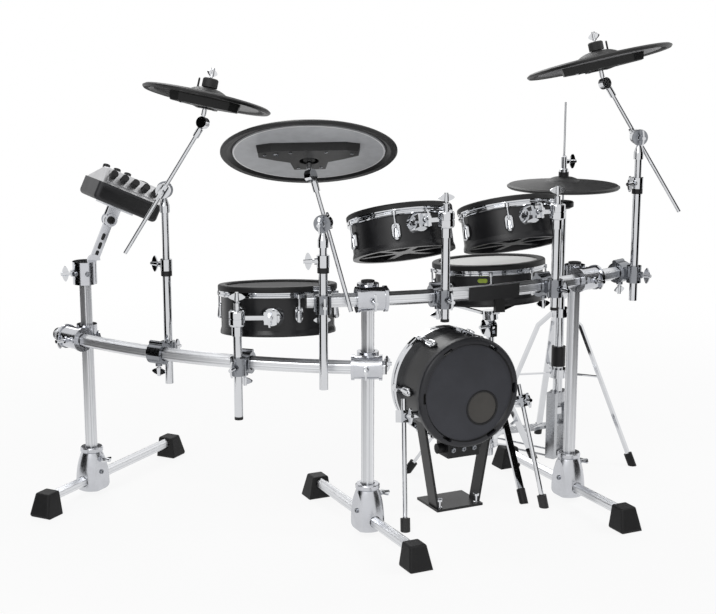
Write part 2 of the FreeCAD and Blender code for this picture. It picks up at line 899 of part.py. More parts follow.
def make_clamps():
    reach = value("bar_offset")
    half = value("sleeve_length") / 2
    edge = value("sleeve_across") / 2
    flange = value("sleeve_flange")
    side = value("post_sleeve_across") / 2
    pieces = [
        rod("sleeve_across", "sleeve_length", Vector(-half, 0, 0), RIGHT),
        rod("sleeve_across + 2 * sleeve_flange_rise", "sleeve_flange", Vector(-half, 0, 0), RIGHT),
        rod("sleeve_across + 2 * sleeve_flange_rise", "sleeve_flange", Vector(half - flange, 0, 0), RIGHT),
        rod("post_sleeve_across", "post_sleeve_height",
            Vector(0, reach, -value("post_sleeve_height") / 2)),
        block("post_sleeve_across * web_share", "bar_offset", "post_sleeve_height * web_rise_share",
              moved(0, reach / 2, 0)),
        rod("boss_across", "sleeve_across / 2 + boss_rise", HERE, BACK * -1),
        rod("boss_across", "post_sleeve_across / 2 + boss_rise", Vector(0, reach, 0), RIGHT)]
    clamp = cut(
        fuse(*pieces),
        rod(CHROME_BORE, "sleeve_length * 2", Vector(-2 * half, 0, 0), RIGHT),
        rod(CHROME_BORE, "post_sleeve_height * 2", Vector(0, reach, -value("post_sleeve_height"))),
        block("sleeve_length * 2", "split", "sleeve_across", moved(0, 0, -edge)))
    stations = ((FRONT, -1), (FRONT, 1), (SIDE, -1), (SIDE, 1))
    crosses = []
    rise = value("boss_rise")
    for bow, end in stations:
        frame = bow.frame(end * bow.post_station, outside=False)
        crosses.append((clamp, frame))
        bolt_at(frame, Vector(0, -edge - rise, 0), BACK * -1, RACK_BOLTS)
        bolt_at(frame, Vector(side + rise, reach, 0), RIGHT, RACK_BOLTS)
    node("cross_clamps", crosses)
    # The accessory clamp: a jaw on the bar and an upright sleeve for a mast or a tom post.
    arm = value("mast_offset")
    span = value("jaw_length") / 2
    jaw_edge = value("jaw_across") / 2
    sleeve_edge = value("mast_sleeve_across") / 2
    low = value("mast_sleeve_height") / 2
    pieces = [
        rod("jaw_across", "jaw_length", Vector(-span, 0, 0), RIGHT),
        rod("mast_sleeve_across", "mast_sleeve_height", Vector(0, arm, -low)),
        block("mast_sleeve_across * grip_web_share", "mast_offset", "mast_sleeve_height * web_rise_share",
              moved(0, arm / 2, 0)),
        rod("boss_across", "mast_sleeve_across / 2 + boss_rise", Vector(0, arm, 0), BACK),
        rod("boss_across", "jaw_across / 2 + boss_rise", HERE, UP * -1),
        rod("boss_across * jaw_hinge_share", "jaw_length",
            Vector(-span, -value("jaw_hinge_in"), jaw_edge), RIGHT)]
    grip = cut(
        fuse(*pieces),
        rod(CHROME_BORE, "jaw_length * 2", Vector(-2 * span, 0, 0), RIGHT),
        rod("mast_across + 2 * fit", "mast_sleeve_height * 2", Vector(0, arm, -2 * low)),
        block("jaw_length * 2", "jaw_across", "split", moved(0, -jaw_edge, 0)))
    grips = []
    for bow, name, outside, post in MAST_STATIONS:
        frame = bow.frame(mast_station(bow, name, post), outside)
        grips.append((grip, frame))
        bolt_at(frame, Vector(0, arm + sleeve_edge + rise, 0), BACK, RACK_BOLTS)
        bolt_at(frame, Vector(0, 0, -jaw_edge - rise), UP * -1, RACK_BOLTS, RIGHT)
    node("accessory_clamps", grips)


# Bar, mast, whether it stands outside the bow, and where its station counts from: a post or the bar's middle.
MAST_STATIONS = (
    (SIDE, "crash_left", False, 0), (FRONT, "ride", True, -1), (FRONT, "crash_right", True, 1),
    (SIDE, "floor_tom", True, 0), (FRONT, "tom_left", True, 0), (FRONT, "tom_right", True, 0))


def mast_station(bow, name, post):
    return post * bow.post_station + value(f"{name}_station")


def mast_foot(name):
    """Where a mast's axis crosses its bar's level."""
    bow, outside, post = next((bow, *rest) for bow, other, *rest in MAST_STATIONS if other == name)
    offset = value("mast_offset") * (1 if outside else -1)
    station = mast_station(bow, name, post)
    return bow.point(station, offset), bow.outward(station)


class Boomed:
    """One cymbal: frames of its mast, tilter, boom, stem and pad."""

    def __init__(self, name):
        self.name = name
        self.foot, self.away = mast_foot(name)
        self.pivot = self.foot + UP * self.size("pivot_rise")
        self.boom = compass(self.size("boom_azimuth"), self.size("boom_rise"))
        self.axis = self.boom.cross(UP).normalize()
        self.normal = leaning(self.size("tilt"), self.size("tilt_azimuth"))
        self.end_axis = self.boom.cross(self.normal).normalize()
        tip = self.pivot + self.axis * value("boom_offset") + self.boom * self.size("boom_reach")
        self.tip = tip
        self.stem = tip + self.end_axis * value("end_disc_thick + disc_gap")
        self.seat = self.stem + self.normal * value("stem_rise")

    def size(self, text):
        return value(f"{self.name}_{text}")


CYMBALS = [Boomed(name) for name in ("crash_left", "ride", "crash_right")]


def make_cymbals():
    masts, collars, locks = [], [], []
    ring = fuse(rod("collar_across", "collar_height"),
                rod("boss_across * collar_boss_share", "collar_across / 2 + boss_rise",
                    Vector(0, 0, value("collar_height / 2")), RIGHT))
    collar = cut(ring, rod("mast_across + 2 * fit", "collar_height"))
    lock = tube("lock_across", "mast_across + 2 * fit", "lock_height")
    for cymbal in CYMBALS:
        name = cymbal.name
        low = cymbal.foot - UP * cymbal.size("drop")
        masts.append((tube("mast_across", "riser_across + 2 * fit", f"{name}_drop + {name}_collar_rise"),
                      moved(*low)))
        top = cymbal.foot + UP * cymbal.size("collar_rise")
        frame = facing(top - UP * value("collar_height"), UP, cymbal.away.cross(UP))
        collars.append((collar, frame))
        locks.append((lock, facing(top - UP * value("collar_height + lock_height"))))
        point = Vector(value("collar_across / 2 + boss_rise"), 0, value("collar_height / 2"))
        bolt_at(frame, point, RIGHT, RACK_BOLTS)
        make_boom(cymbal)
        make_pad(cymbal)
    node("cymbal_masts", masts)
    node("cymbal_masts", collars)
    return locks


def make_boom(cymbal):
    name = cymbal.name
    # Upper mast tube with the fixed tilter disc.
    frame = facing(cymbal.pivot, UP, cymbal.axis)
    low = value("seat_low")
    inside = f"{name}_pivot_rise - {name}_collar_rise - seat_low + riser_grip"
    thick = value("disc_thick")
    half = thick / 2
    riser = rod("riser_across", inside, Vector(0, 0, -low - value(inside)))
    seat = fuse(
        rod("seat_across", "seat_low - seat_shoulder", Vector(0, 0, -low)),
        cone("seat_across", "disc_thick - disc_neck_in", "seat_shoulder - seat_neck",
             Vector(0, 0, -value("seat_shoulder"))),
        rod("disc_thick - disc_neck_in", "seat_neck", Vector(0, 0, -value("seat_neck"))),
        rod("disc_across", "disc_thick", Vector(-half, 0, 0), RIGHT),
        rod("disc_across * disc_boss_share", "disc_thick / 2 + boss_rise", HERE, RIGHT * -1))
    bolts = []
    bolt_at(frame, Vector(-half - value("boss_rise"), 0, 0), RIGHT * -1, bolts)
    node(f"{name}_riser", [(riser, frame), (seat, frame)] + bolts)
    # Boom: rod, holder with the second disc, end socket.
    frame = facing(cymbal.pivot, cymbal.boom, cymbal.axis)
    gap = value("disc_gap")
    offset = value("boom_offset")
    reach = cymbal.size("boom_reach")
    hold = value("holder_length")
    outer = offset + value("holder_across / 2 + boss_rise")
    along = Vector(offset, 0, 0)
    bar_end = "end_disc_across / 2 + end_socket_length * boom_seat_share"
    bar = rod("boom_across", f"{name}_boom_tail + {name}_boom_reach - ({bar_end})",
              along - UP * cymbal.size("boom_tail"))
    holder = cut(
        fuse(rod("disc_across", "boom_offset - disc_thick / 2 - disc_gap", Vector(half + gap, 0, 0), RIGHT),
             rod("holder_across", "holder_length", along - UP * (hold / 2)),
             rod("boss_across * holder_boss_share", "holder_across / 2 + boss_rise", along, RIGHT)),
        rod("boom_across + 2 * fit", "holder_length * 2", along - UP * hold))
    bolts = []
    bolt_at(frame, Vector(outer, 0, 0), RIGHT, bolts)
    inward = frame.Rotation.inverted().multVec(cymbal.end_axis)
    tip = along + UP * reach
    foot = "end_disc_across / 2 + end_socket_length"
    socket = cut(
        fuse(rod("end_socket_across", "end_socket_length - disc_relief", tip - UP * value(foot)),
             rod("end_disc_thick - end_neck_in", foot, tip - UP * value(foot)),
             rod("end_disc_across", "end_disc_thick", tip - inward * value("end_disc_thick / 2"), inward)),
        rod("boom_across + 2 * fit", f"{foot} - ({bar_end})", tip - UP * value(foot)))
    node(f"{name}_boom", [(bar, frame), (holder, frame), (socket, frame)] + bolts)
    # Stem: tilter disc, threaded stem, lower felt, cap and wing nut.
    frame = facing(cymbal.stem, cymbal.normal, cymbal.end_axis)
    rise = value("stem_rise")
    cap_top = rise + value("pad_bell_height + cap_height")
    stem = fuse(
        rod("end_disc_across", "end_disc_thick", Vector(-value("end_disc_thick / 2"), 0, 0), RIGHT),
        rod("end_disc_thick - end_neck_in", "stem_rise - felt_height"),
        rod("stem_base_across", "stem_rise - felt_height - end_disc_across / 2 - stem_base_gap",
            Vector(0, 0, value("end_disc_across / 2 + stem_base_gap"))),
        rod("stem_across", "stem_rise + pad_bell_height + cap_height"))
    base = "stem_rise - felt_height"
    bore = "stem_across / 2 + fit"
    felt = turned([
        (bore, base), ("felt_across / 2", base),
        ("felt_across / 2", "stem_rise - fit - felt_across / 2 * felt_slope"),
        (bore, f"stem_rise - fit - ({bore}) * felt_slope")])
    crown = "stem_rise + pad_bell_height"
    cap = turned([
        (bore, f"{crown} + fit + ({bore}) * felt_slope"),
        ("cap_across / 2", f"{crown} + fit + cap_across / 2 * felt_slope"),
        ("cap_across / 2", f"{crown} + cap_height - cap_soften"),
        ("cap_across / 2 - cap_soften", f"{crown} + cap_height"),
        (bore, f"{crown} + cap_height")])
    bolts = []
    bolt_at(frame, Vector(0, 0, cap_top), UP, bolts, RIGHT)
    node(f"{name}_stem", [(stem, frame), (felt, frame), (cap, frame)] + bolts)


def pad_solids(across, bell):
    """Rubber playing surface and the plastic base under it, about the hole's lower edge."""
    edge = f"{across} / 2"
    dome = f"{bell} / 2"
    rubber = turned([
        ("pad_hole", "0"), ("pad_hub_across / 2", "0"), ("pad_hub_across / 2", "pad_flat"),
        (f"{edge} - pad_rubber_edge", "pad_flat"), (f"{edge} - pad_lip_in", "pad_flat - pad_lip_drop"),
        (f"{edge} - pad_edge_in", "pad_flat - pad_edge_drop"), (edge, "pad_flat - pad_edge_low"),
        (edge, "pad_flat - pad_edge_high"), (f"{edge} - pad_bow_in", "pad_flat + pad_bow_rise"),
        (f"{dome} + pad_bell_out", "pad_flat + pad_bell_low"), (dome, "pad_flat + pad_bell_foot"),
        ("pad_hub_across / 2 - pad_crown_in", "pad_bell_height"), ("pad_hole", "pad_bell_height")],
        {10: (f"{dome} * pad_dome_share + pad_dome_out", "pad_bell_height - pad_dome_drop")})
    inner = "pad_hub_across / 2 + plate_gap"
    rim = f"{edge} - pad_rubber_edge - plate_gap"
    plate = turned([
        (inner, "pad_flat - pad_base_thick"), (f"{rim} - plate_gap", "pad_flat - pad_base_thick"),
        (rim, "pad_flat"), (inner, "pad_flat")])
    return rubber, plate


# The housing's outline from its middle, along and across, as shares of its length.
SENSOR_SHARES = (
    (-0.5, 0.26), (-0.36, 0.31), (0.36, 0.31), (0.5, 0.26), (0.5, 0.12), (0.34, 0.02), (0.2, -0.05),
    (0.17, -0.26), (-0.17, -0.26), (-0.2, -0.05), (-0.34, 0.02), (-0.5, 0.12))


def make_pad(cymbal):
    name = cymbal.name
    frame = facing(cymbal.seat, cymbal.normal, cymbal.end_axis)
    rubber, plate = pad_solids(f"{name}_across", f"{name}_bell_across")
    # Trigger housing: two swept wings and a lobe, drafted, with its wide face on the base plate.
    length = f"{name}_sensor_length"
    outline = [(f"{length} * {u}", f"{length} * {v}") for u, v in SENSOR_SHARES]
    face = Placement(UP * value("pad_flat - pad_base_thick"), Rotation(RIGHT, 180))
    turn = turned_by(cymbal.size("sensor_turn"))
    box = cut(placed(moulded(outline, "sensor_height", "sensor_draft"), turn.multiply(face)),
              rod("sensor_hole", "sensor_height", UP * value("pad_flat - pad_base_thick"), UP * -1))
    node(f"{name}_pad", [(rubber, frame), (plate, frame), (box, frame)])


def lug_body(height):
    """A tapered lug with round ends, upright, its foot sunk in the shell's face at x zero."""
    out = value("lug_depth - lug_width / 2")
    sink = value("lug_sink")
    tip = "lug_width * lug_taper_share"
    top = value(height)
    return fuse(
        ball("lug_width", Vector(out, 0, 0)), cone("lug_width", tip, height, Vector(out, 0, 0)),
        block("lug_sink + lug_depth - lug_width / 2", f"{tip} * lug_foot_share", height,
              moved(-sink, 0, 0), (0, 0.5, 0)),
        ball(tip, Vector(out, 0, top)))


class Drum:
    """One drum pad: shell, hoop with lugs, rim and head, about its bottom middle."""

    def __init__(self, name, sizes=None):
        self.name = name
        self.sizes = sizes or name
        self.shell = f"{self.sizes}_shell_across"
        self.height = f"{self.sizes}_shell_height"

    def size(self, text):
        return value(f"{self.sizes}_{text}")

    def solids(self, lugs, first_lug):
        edge = f"{self.shell} / 2"
        top = self.height
        inner = f"{edge} - shell_wall"
        wall = turned([
            ("0", "shell_pocket"), (inner, "shell_pocket"), (f"{inner} + shell_mouth", "0"),
            (f"{edge} + shell_flare", "0"), (f"{edge} + shell_flare", "shell_flare_low"),
            (edge, "shell_flare_high"), (edge, top), ("0", top)])
        spoke = block(f"{edge} - shell_wall / 2", "spoke_width", "spoke_height",
                      moved(0, 0, value("spoke_low")), (0, 0.5, 0))
        hub = rod("spoke_hub_across", "shell_pocket - spoke_low", Vector(0, 0, value("spoke_low")))
        shell = fuse(wall, hub, *around(spoke, int(value("spoke_count"))))
        groove = f"{edge} + hoop_groove"
        lip = f"{edge} + hoop_reach"
        ring = turned([
            (f"{edge} + fit", f"{top} - hoop_height"), (groove, f"{top} - hoop_height"),
            (lip, f"{top} - hoop_height * hoop_low_share"), (lip, f"{top} - hoop_height * hoop_waist_low_share"),
            (groove, f"{top} - hoop_height * hoop_waist_foot_share"), (groove, f"{top} - hoop_height * hoop_waist_head_share"),
            (lip, f"{top} - hoop_height * hoop_high_share"), (lip, top), (f"{edge} + fit", top)])
        level = f"{top} - hoop_height"
        radius = value(edge)
        ear = rod("ear_width", "ear_height",
                  Vector(radius + value("ear_reach - ear_width / 2"), 0, value(level)))
        hoop = fuse(ring, *around(ear, lugs, first_lug))
        out = radius + value("lug_depth * rod_out_share")
        bar = rod("rod_across", "rod_length", Vector(out, 0, value(f"{level} - rod_length")))
        crown = value(f"{level} - rod_length")
        lug = cut(
            placed(lug_body("lug_height"),
                   moved(radius, 0, crown - value("lug_height + lug_width * lug_taper_share / 2"))),
            rod(f"{self.shell} + shell_fit", top))
        outside = f"{edge} + rim_overhang"
        inside = f"{outside} - rim_width"
        rim = turned([
            (inside, top), (f"{outside} - rim_foot", top), (outside, f"{top} + rim_foot_rise"),
            (outside, f"{top} + rim_height - rim_soften"), (f"{outside} - rim_soften", f"{top} + rim_height"),
            (f"{inside} + rim_inner_soften", f"{top} + rim_height"),
            (inside, f"{top} + rim_height - rim_inner_soften")],
            {3: (f"{outside} - rim_soften * arc_share", f"{top} + rim_height - rim_soften * arc_share")})
        head = rod(f"{self.shell} + 2 * (rim_overhang - rim_width - fit)", "head_thick", Vector(0, 0, value(top)))
        trim = [hoop] + around(bar, lugs, first_lug) + around(lug, lugs, first_lug)
        return shell, trim, rim, head

    def put(self, frame, extra=(), lugs=6, first_lug=0):
        shell, trim, rim, head = self.solids(lugs, first_lug)
        node(f"{self.name}_shell", [(shell, frame)])
        node(f"{self.name}_hardware", [(piece, frame) for piece in trim] + list(extra))
        node(f"{self.name}_head", [(rim, frame), (head, frame)])


class HungDrum(Drum):
    """A tom on a ball clamp; its frame follows from the ball on the post."""

    def __init__(self, name, sizes, side):
        super().__init__(name, sizes)
        foot, away = mast_foot(name)
        self.foot = foot
        self.away = away
        self.side = side
        self.ball = foot + UP * self.size("ball_rise")
        normal = leaning(self.size("tilt"), self.size("tilt_azimuth"))
        frame = facing(HERE, normal, compass(self.size("bracket_azimuth")))
        self.local_ball = Vector(
            value(f"{self.shell} / 2 + bracket_stand"), side * self.size("rod_length"), self.size("bracket_level"))
        frame.Base = self.ball - frame.Rotation.multVec(self.local_ball)
        self.frame = frame
        self.rod_way = frame.Rotation.multVec(BACK * -side)


TOMS = [HungDrum("floor_tom", "floor_tom", -1), HungDrum("tom_left", "tom", 1), HungDrum("tom_right", "tom", 1)]


def make_toms():
    posts, clamps, caps = [], [], []
    size = value("ball_clamp_size")
    sink = value("ball_clamp_sink")
    # Ball clamp: a barrel in two halves, with a boss for the wing bolt and a collar on the post.
    half = "ball_clamp_size / 2"
    shoulder = f"{half} - ball_clamp_soften"
    bulge = f"{half} - ball_clamp_soften * arc_share"
    barrel = turned([
        ("0", f"-{half}"), (shoulder, f"-{half}"), (half, f"-({shoulder})"), (half, "-split / 2"),
        (f"{half} - ball_clamp_groove", "-split / 2"), (f"{half} - ball_clamp_groove", "split / 2"),
        (half, "split / 2"), (half, shoulder), (shoulder, half), ("0", half)],
        {1: (bulge, f"-({bulge})"), 7: (bulge, bulge)})
    shell = cut(
        fuse(barrel,
             rod("handle_boss * handle_share", "handle_boss", Vector(0, 0, size / 2 - sink)),
             rod("ball_collar_across", "ball_collar_height", Vector(0, 0, -size / 2 + sink), UP * -1)),
        placed(ball("ball_across + 2 * joint_gap"), facing(HERE, RIGHT)),
        rod("hex_across * hex_room_share", "ball_clamp_size", HERE, RIGHT),
        rod("mast_across + 2 * fit", "ball_collar_height", Vector(0, 0, -size / 2), UP * -1))
    cap = rod("mast_across", "cap_thick * 2")
    for tom in TOMS:
        post = f"{tom.sizes}_ball_rise + {tom.sizes}_post_drop - ball_clamp_size / 2"
        low = tom.foot - UP * tom.size("post_drop")
        posts.append((tube("mast_across", "riser_across + 2 * fit", post), moved(*low)))
        caps.append((cap, facing(low, UP * -1)))
        flat = Vector(tom.rod_way.x, tom.rod_way.y, 0)
        frame = facing(tom.ball, UP, flat)
        clamps.append((shell, facing(tom.ball, tom.rod_way.cross(UP.cross(tom.rod_way)), tom.rod_way)
                       if flat.Length < 1e-6 else frame))
        bolt_at(frame, Vector(0, 0, size / 2 - sink + value("handle_boss")), UP, RACK_BOLTS, RIGHT)
        # The tom's own half of the joint: ball, hex rod and the receiver on the shell.
        x = tom.local_ball.x
        z = tom.local_ball.z
        back = BACK * -tom.side
        reach = f"{tom.sizes}_rod_length + receiver_size * rod_seat_share"
        arm = fuse(ball("ball_across", tom.local_ball),
                   hexagon("hex_across", reach, tom.local_ball, back, RIGHT))
        middle = Vector(x, 0, z)
        half_size = value("receiver_size / 2")
        edge = value(f"{tom.shell} / 2")
        bolt_foot = x + half_size + value("boss_rise")
        bracket = cut(
            fuse(common(
                     cone("bracket_width", "bracket_width * bracket_taper_share",
                          "bracket_stand * bracket_rise_share + bracket_sink",
                          Vector(edge - value("bracket_sink"), 0, z), RIGHT),
                     block("bracket_stand * 2", "bracket_width", "bracket_across", moved(edge, 0, z))),
                 block("receiver_size + bracket_stand", "receiver_size", "receiver_size",
                       moved(x + half_size, 0, z), (1, 0.5, 0.5)),
                 rod("boss_across", "receiver_size / 2 + boss_rise", middle, RIGHT)),
            rod(f"{tom.shell} + shell_fit", tom.height),
            rod("hex_across * 2 / sqrt(3) + 2 * fit", "receiver_size * 2", middle - BACK * (2 * half_size), BACK))
        bolts = []
        bolt_at(tom.frame, Vector(bolt_foot, 0, z), RIGHT, bolts)
        first_lug = value("lug_turn") + tom.side * value("lug_clear_turn")
        tom.put(tom.frame, [(arm, tom.frame), (bracket, tom.frame)] + bolts, first_lug=first_lug)
    node("tom_posts", posts)
    node("tom_posts", clamps)
    return caps


def between(start, finish, width, thick, length):
    """A flat bar from start to finish, its width level; length is the text of the distance."""
    way = (finish - start).normalize()
    level = UP.cross(way)
    return block(length, thick, width, facing(start, level, way), (0, 0.5, 0.5))


def tripod(prefix, bores):
    """Kneed legs with braces between two hubs, and the feet, about the stand's axis on the floor."""
    hub = value("tripod_hub_across")
    top = value(f"{prefix}_leg_top")
    low = value(f"{prefix}_brace_low")
    rise = value("tripod_hub_height")
    foot = value("stand_foot_across")
    root = value("tripod_hub_across / 2 - tripod_root")
    start = Vector(root, 0, top)
    knee = Vector(value(f"{prefix}_knee_out"), 0, top - value(f"{prefix}_knee_drop"))
    finish = Vector(value(f"{prefix}_leg_reach"), 0, foot / 2)
    out = f"({prefix}_knee_out - tripod_hub_across / 2 + tripod_root)"
    run = f"({prefix}_leg_reach - {prefix}_knee_out)"
    fall = f"({prefix}_leg_top - {prefix}_knee_drop - stand_foot_across / 2)"
    way = (finish - knee).normalize()
    leg = fuse(
        between(start, knee, "tripod_leg_width", "tripod_leg_thick", f"sqrt({out} ^ 2 + {prefix}_knee_drop ^ 2)"),
        rod("tripod_leg_thick", "tripod_leg_width", knee - BACK * value("tripod_leg_width / 2"), BACK),
        between(knee, finish, "tripod_leg_width", "tripod_leg_thick",
                f"sqrt({run} ^ 2 + {fall} ^ 2) - stand_foot_length * foot_cap_share"))
    share = value(f"{prefix}_brace_share")
    meet = knee + (finish - knee) * share
    brace_run = f"({prefix}_knee_out + {run} * {prefix}_brace_share - tripod_hub_across / 2 + tripod_root)"
    brace_rise = f"({prefix}_leg_top - {prefix}_knee_drop - {fall} * {prefix}_brace_share - {prefix}_brace_low)"
    brace = cut(
        between(Vector(root, 0, low), meet, "brace_width", "brace_thick",
                f"sqrt({brace_run} ^ 2 + {brace_rise} ^ 2)"),
        leg)
    turns = [turned_by(value(f"{prefix}_leg_{side}")) for side in ("right", "rear", "left")]
    hubs = [
        cut(rod("tripod_hub_across", "tripod_hub_height", Vector(0, 0, level - rise / 2)),
            *bores, *[placed(strut, turn) for turn in turns])
        for level, strut in ((top, leg), (low, brace))]
    struts = [placed(strut, turn) for strut in (leg, brace) for turn in turns]
    # Feet: rubber tips on the leg ends, cut flat by the floor.
    tip = common(
        rod("stand_foot_across", "stand_foot_length", finish - way * value("stand_foot_length * foot_cap_share"), way),
        block("stand_foot_length * 3", "stand_foot_length * 3", "stand_foot_length * 3",
              moved(finish.x, 0, 0), (0.5, 0.5, 0)))
    return hubs + struts, [placed(tip, turn) for turn in turns]


STAND_FEET = []
# Both stands keep their places about the right post.
SNARE_AXIS = standing("snare", RIGHT_POST)
SNARE_PIVOT = SNARE_AXIS + UP * value("snare_pivot_height")
SNARE_NORMAL = leaning(value("snare_tilt"), value("snare_tilt_azimuth"))
SNARE_HINGE = UP.cross(SNARE_NORMAL).normalize()
SNARE_FRAME = facing(SNARE_PIVOT + SNARE_NORMAL * value("snare_pivot_drop"), SNARE_NORMAL, SNARE_HINGE)


def make_snare():
    here = moved(*SNARE_AXIS)
    collar_top = value("snare_collar_height")
    bore = rod("snare_tube_across + 2 * fit", "snare_collar_height")
    legs, tips = tripod("snare", [bore])
    STAND_FEET.extend((tip, here) for tip in tips)
    low = Vector(0, 0, value("snare_tube_low"))
    pipe = tube("snare_tube_across", "snare_riser_across + 2 * fit",
                "snare_collar_height - snare_tube_low", low)
    collar = cut(
        fuse(rod("snare_collar_across", "collar_height", Vector(0, 0, collar_top - value("collar_height"))),
             rod("boss_across", "snare_collar_across / 2 + boss_rise",
                 Vector(0, 0, collar_top - value("collar_height / 2")), BACK * -1)),
        bore)
    bolts = []
    bolt_at(here, Vector(0, -value("snare_collar_across / 2 + boss_rise"), collar_top - value("collar_height / 2")),
            BACK * -1, bolts)
    node("snare_stand", [(piece, here) for piece in (pipe, collar, *legs)] + bolts)
    # Riser: upper tube with a fork for the basket's tongue.
    frame = facing(SNARE_PIVOT, UP, SNARE_HINGE)
    thick = value("fork_thick")
    gap = value("fork_gap")
    drop = value("fork_across")
    pillar = rod("snare_riser_across", "snare_pivot_height - snare_collar_height - fork_across + snare_riser_grip",
                 Vector(0, 0, value("snare_collar_height - snare_riser_grip - snare_pivot_height")))
    cheeks = []
    for side in (-1, 1):
        cheek = fuse(rod("fork_across", "fork_thick", RIGHT * (side * (thick / 2 + gap)), RIGHT * side),
                     block("fork_thick", "fork_across", "fork_across",
                           moved(side * (thick + gap), 0, -drop / 2)))
        cheeks.append(cheek)
    yoke = fuse(
        block("3 * fork_thick + 2 * fork_gap", "fork_across", "fork_across / 3", moved(0, 0, -drop), (0.5, 0.5, 0)),
        *cheeks)
    bolts = []
    bolt_at(frame, RIGHT * (1.5 * thick + gap), RIGHT, bolts)
    node("snare_riser", [(pillar, frame), (yoke, frame)] + bolts)
    # Basket: tongue, hub, three arms and their rubber grips.
    snare = Drum("snare")
    fall = value("snare_pivot_drop")
    edge = value("snare_shell_across / 2 + shell_flare")
    hub_top = -fall + value("fork_across / 2 + basket_hub_height + basket_gap")
    reach = value("grip_reach")
    grip = fuse(
        block("grip_reach + grip_shelf", "grip_width", "grip_thick", moved(edge + reach, 0, 0), (1, 0.5, 1)),
        block("grip_reach - fit", "grip_width", "grip_rise", moved(edge + reach, 0, 0), (1, 0.5, 0)))
    start = Vector(0, 0, hub_top - value("basket_hub_height") / 2)
    finish = Vector(edge + reach / 3, 0, -value("grip_thick") / 2)
    run = "snare_shell_across / 2 + shell_flare + grip_reach / 3"
    lift = "snare_pivot_drop - fork_across / 2 - basket_gap - basket_hub_height / 2 - grip_thick / 2"
    pivot = start + (finish - start) * value("basket_pivot_share")
    arm = cut(
        fuse(between(start, finish, "basket_arm_width", "basket_arm_thick", f"sqrt(({run}) ^ 2 + ({lift}) ^ 2)"),
             rod("basket_pivot_across", "basket_arm_width", pivot - BACK * value("basket_arm_width / 2"), BACK)),
        grip)
    turn = value("basket_azimuth")
    hub = fuse(
        rod("basket_hub_across", "basket_hub_height", Vector(0, 0, hub_top), UP * -1),
        rod("fork_across", "fork_thick", Vector(-thick / 2, 0, -fall), RIGHT),
        block("fork_thick", "fork_across", "fork_across / 2 + tongue_root", moved(0, 0, -fall), (0.5, 0.5, 0)),
        *around(arm, 3, turn))
    node("snare_basket", [(hub, SNARE_FRAME)])
    node("snare_grips", [(piece, SNARE_FRAME) for piece in around(grip, 3, turn)])
    lugs = int(value("snare_lug_count"))
    snare.put(SNARE_FRAME, lugs=lugs, first_lug=turn + 180 / lugs)


HIHAT_AXIS = standing("hihat", RIGHT_POST)
PEDAL_WAY = compass(value("pedal_azimuth"))
PEDAL_FRAME = facing(HIHAT_AXIS, UP, PEDAL_WAY)
PEDAL_HINGE = HIHAT_AXIS + PEDAL_WAY * value("pedal_hinge_back") + UP * value("pedal_hinge_height")
PAD_RISE = "hihat_upper_top + hihat_seat_height + hihat_travel_room + felt_height"
PAD_LEVEL = value(PAD_RISE)


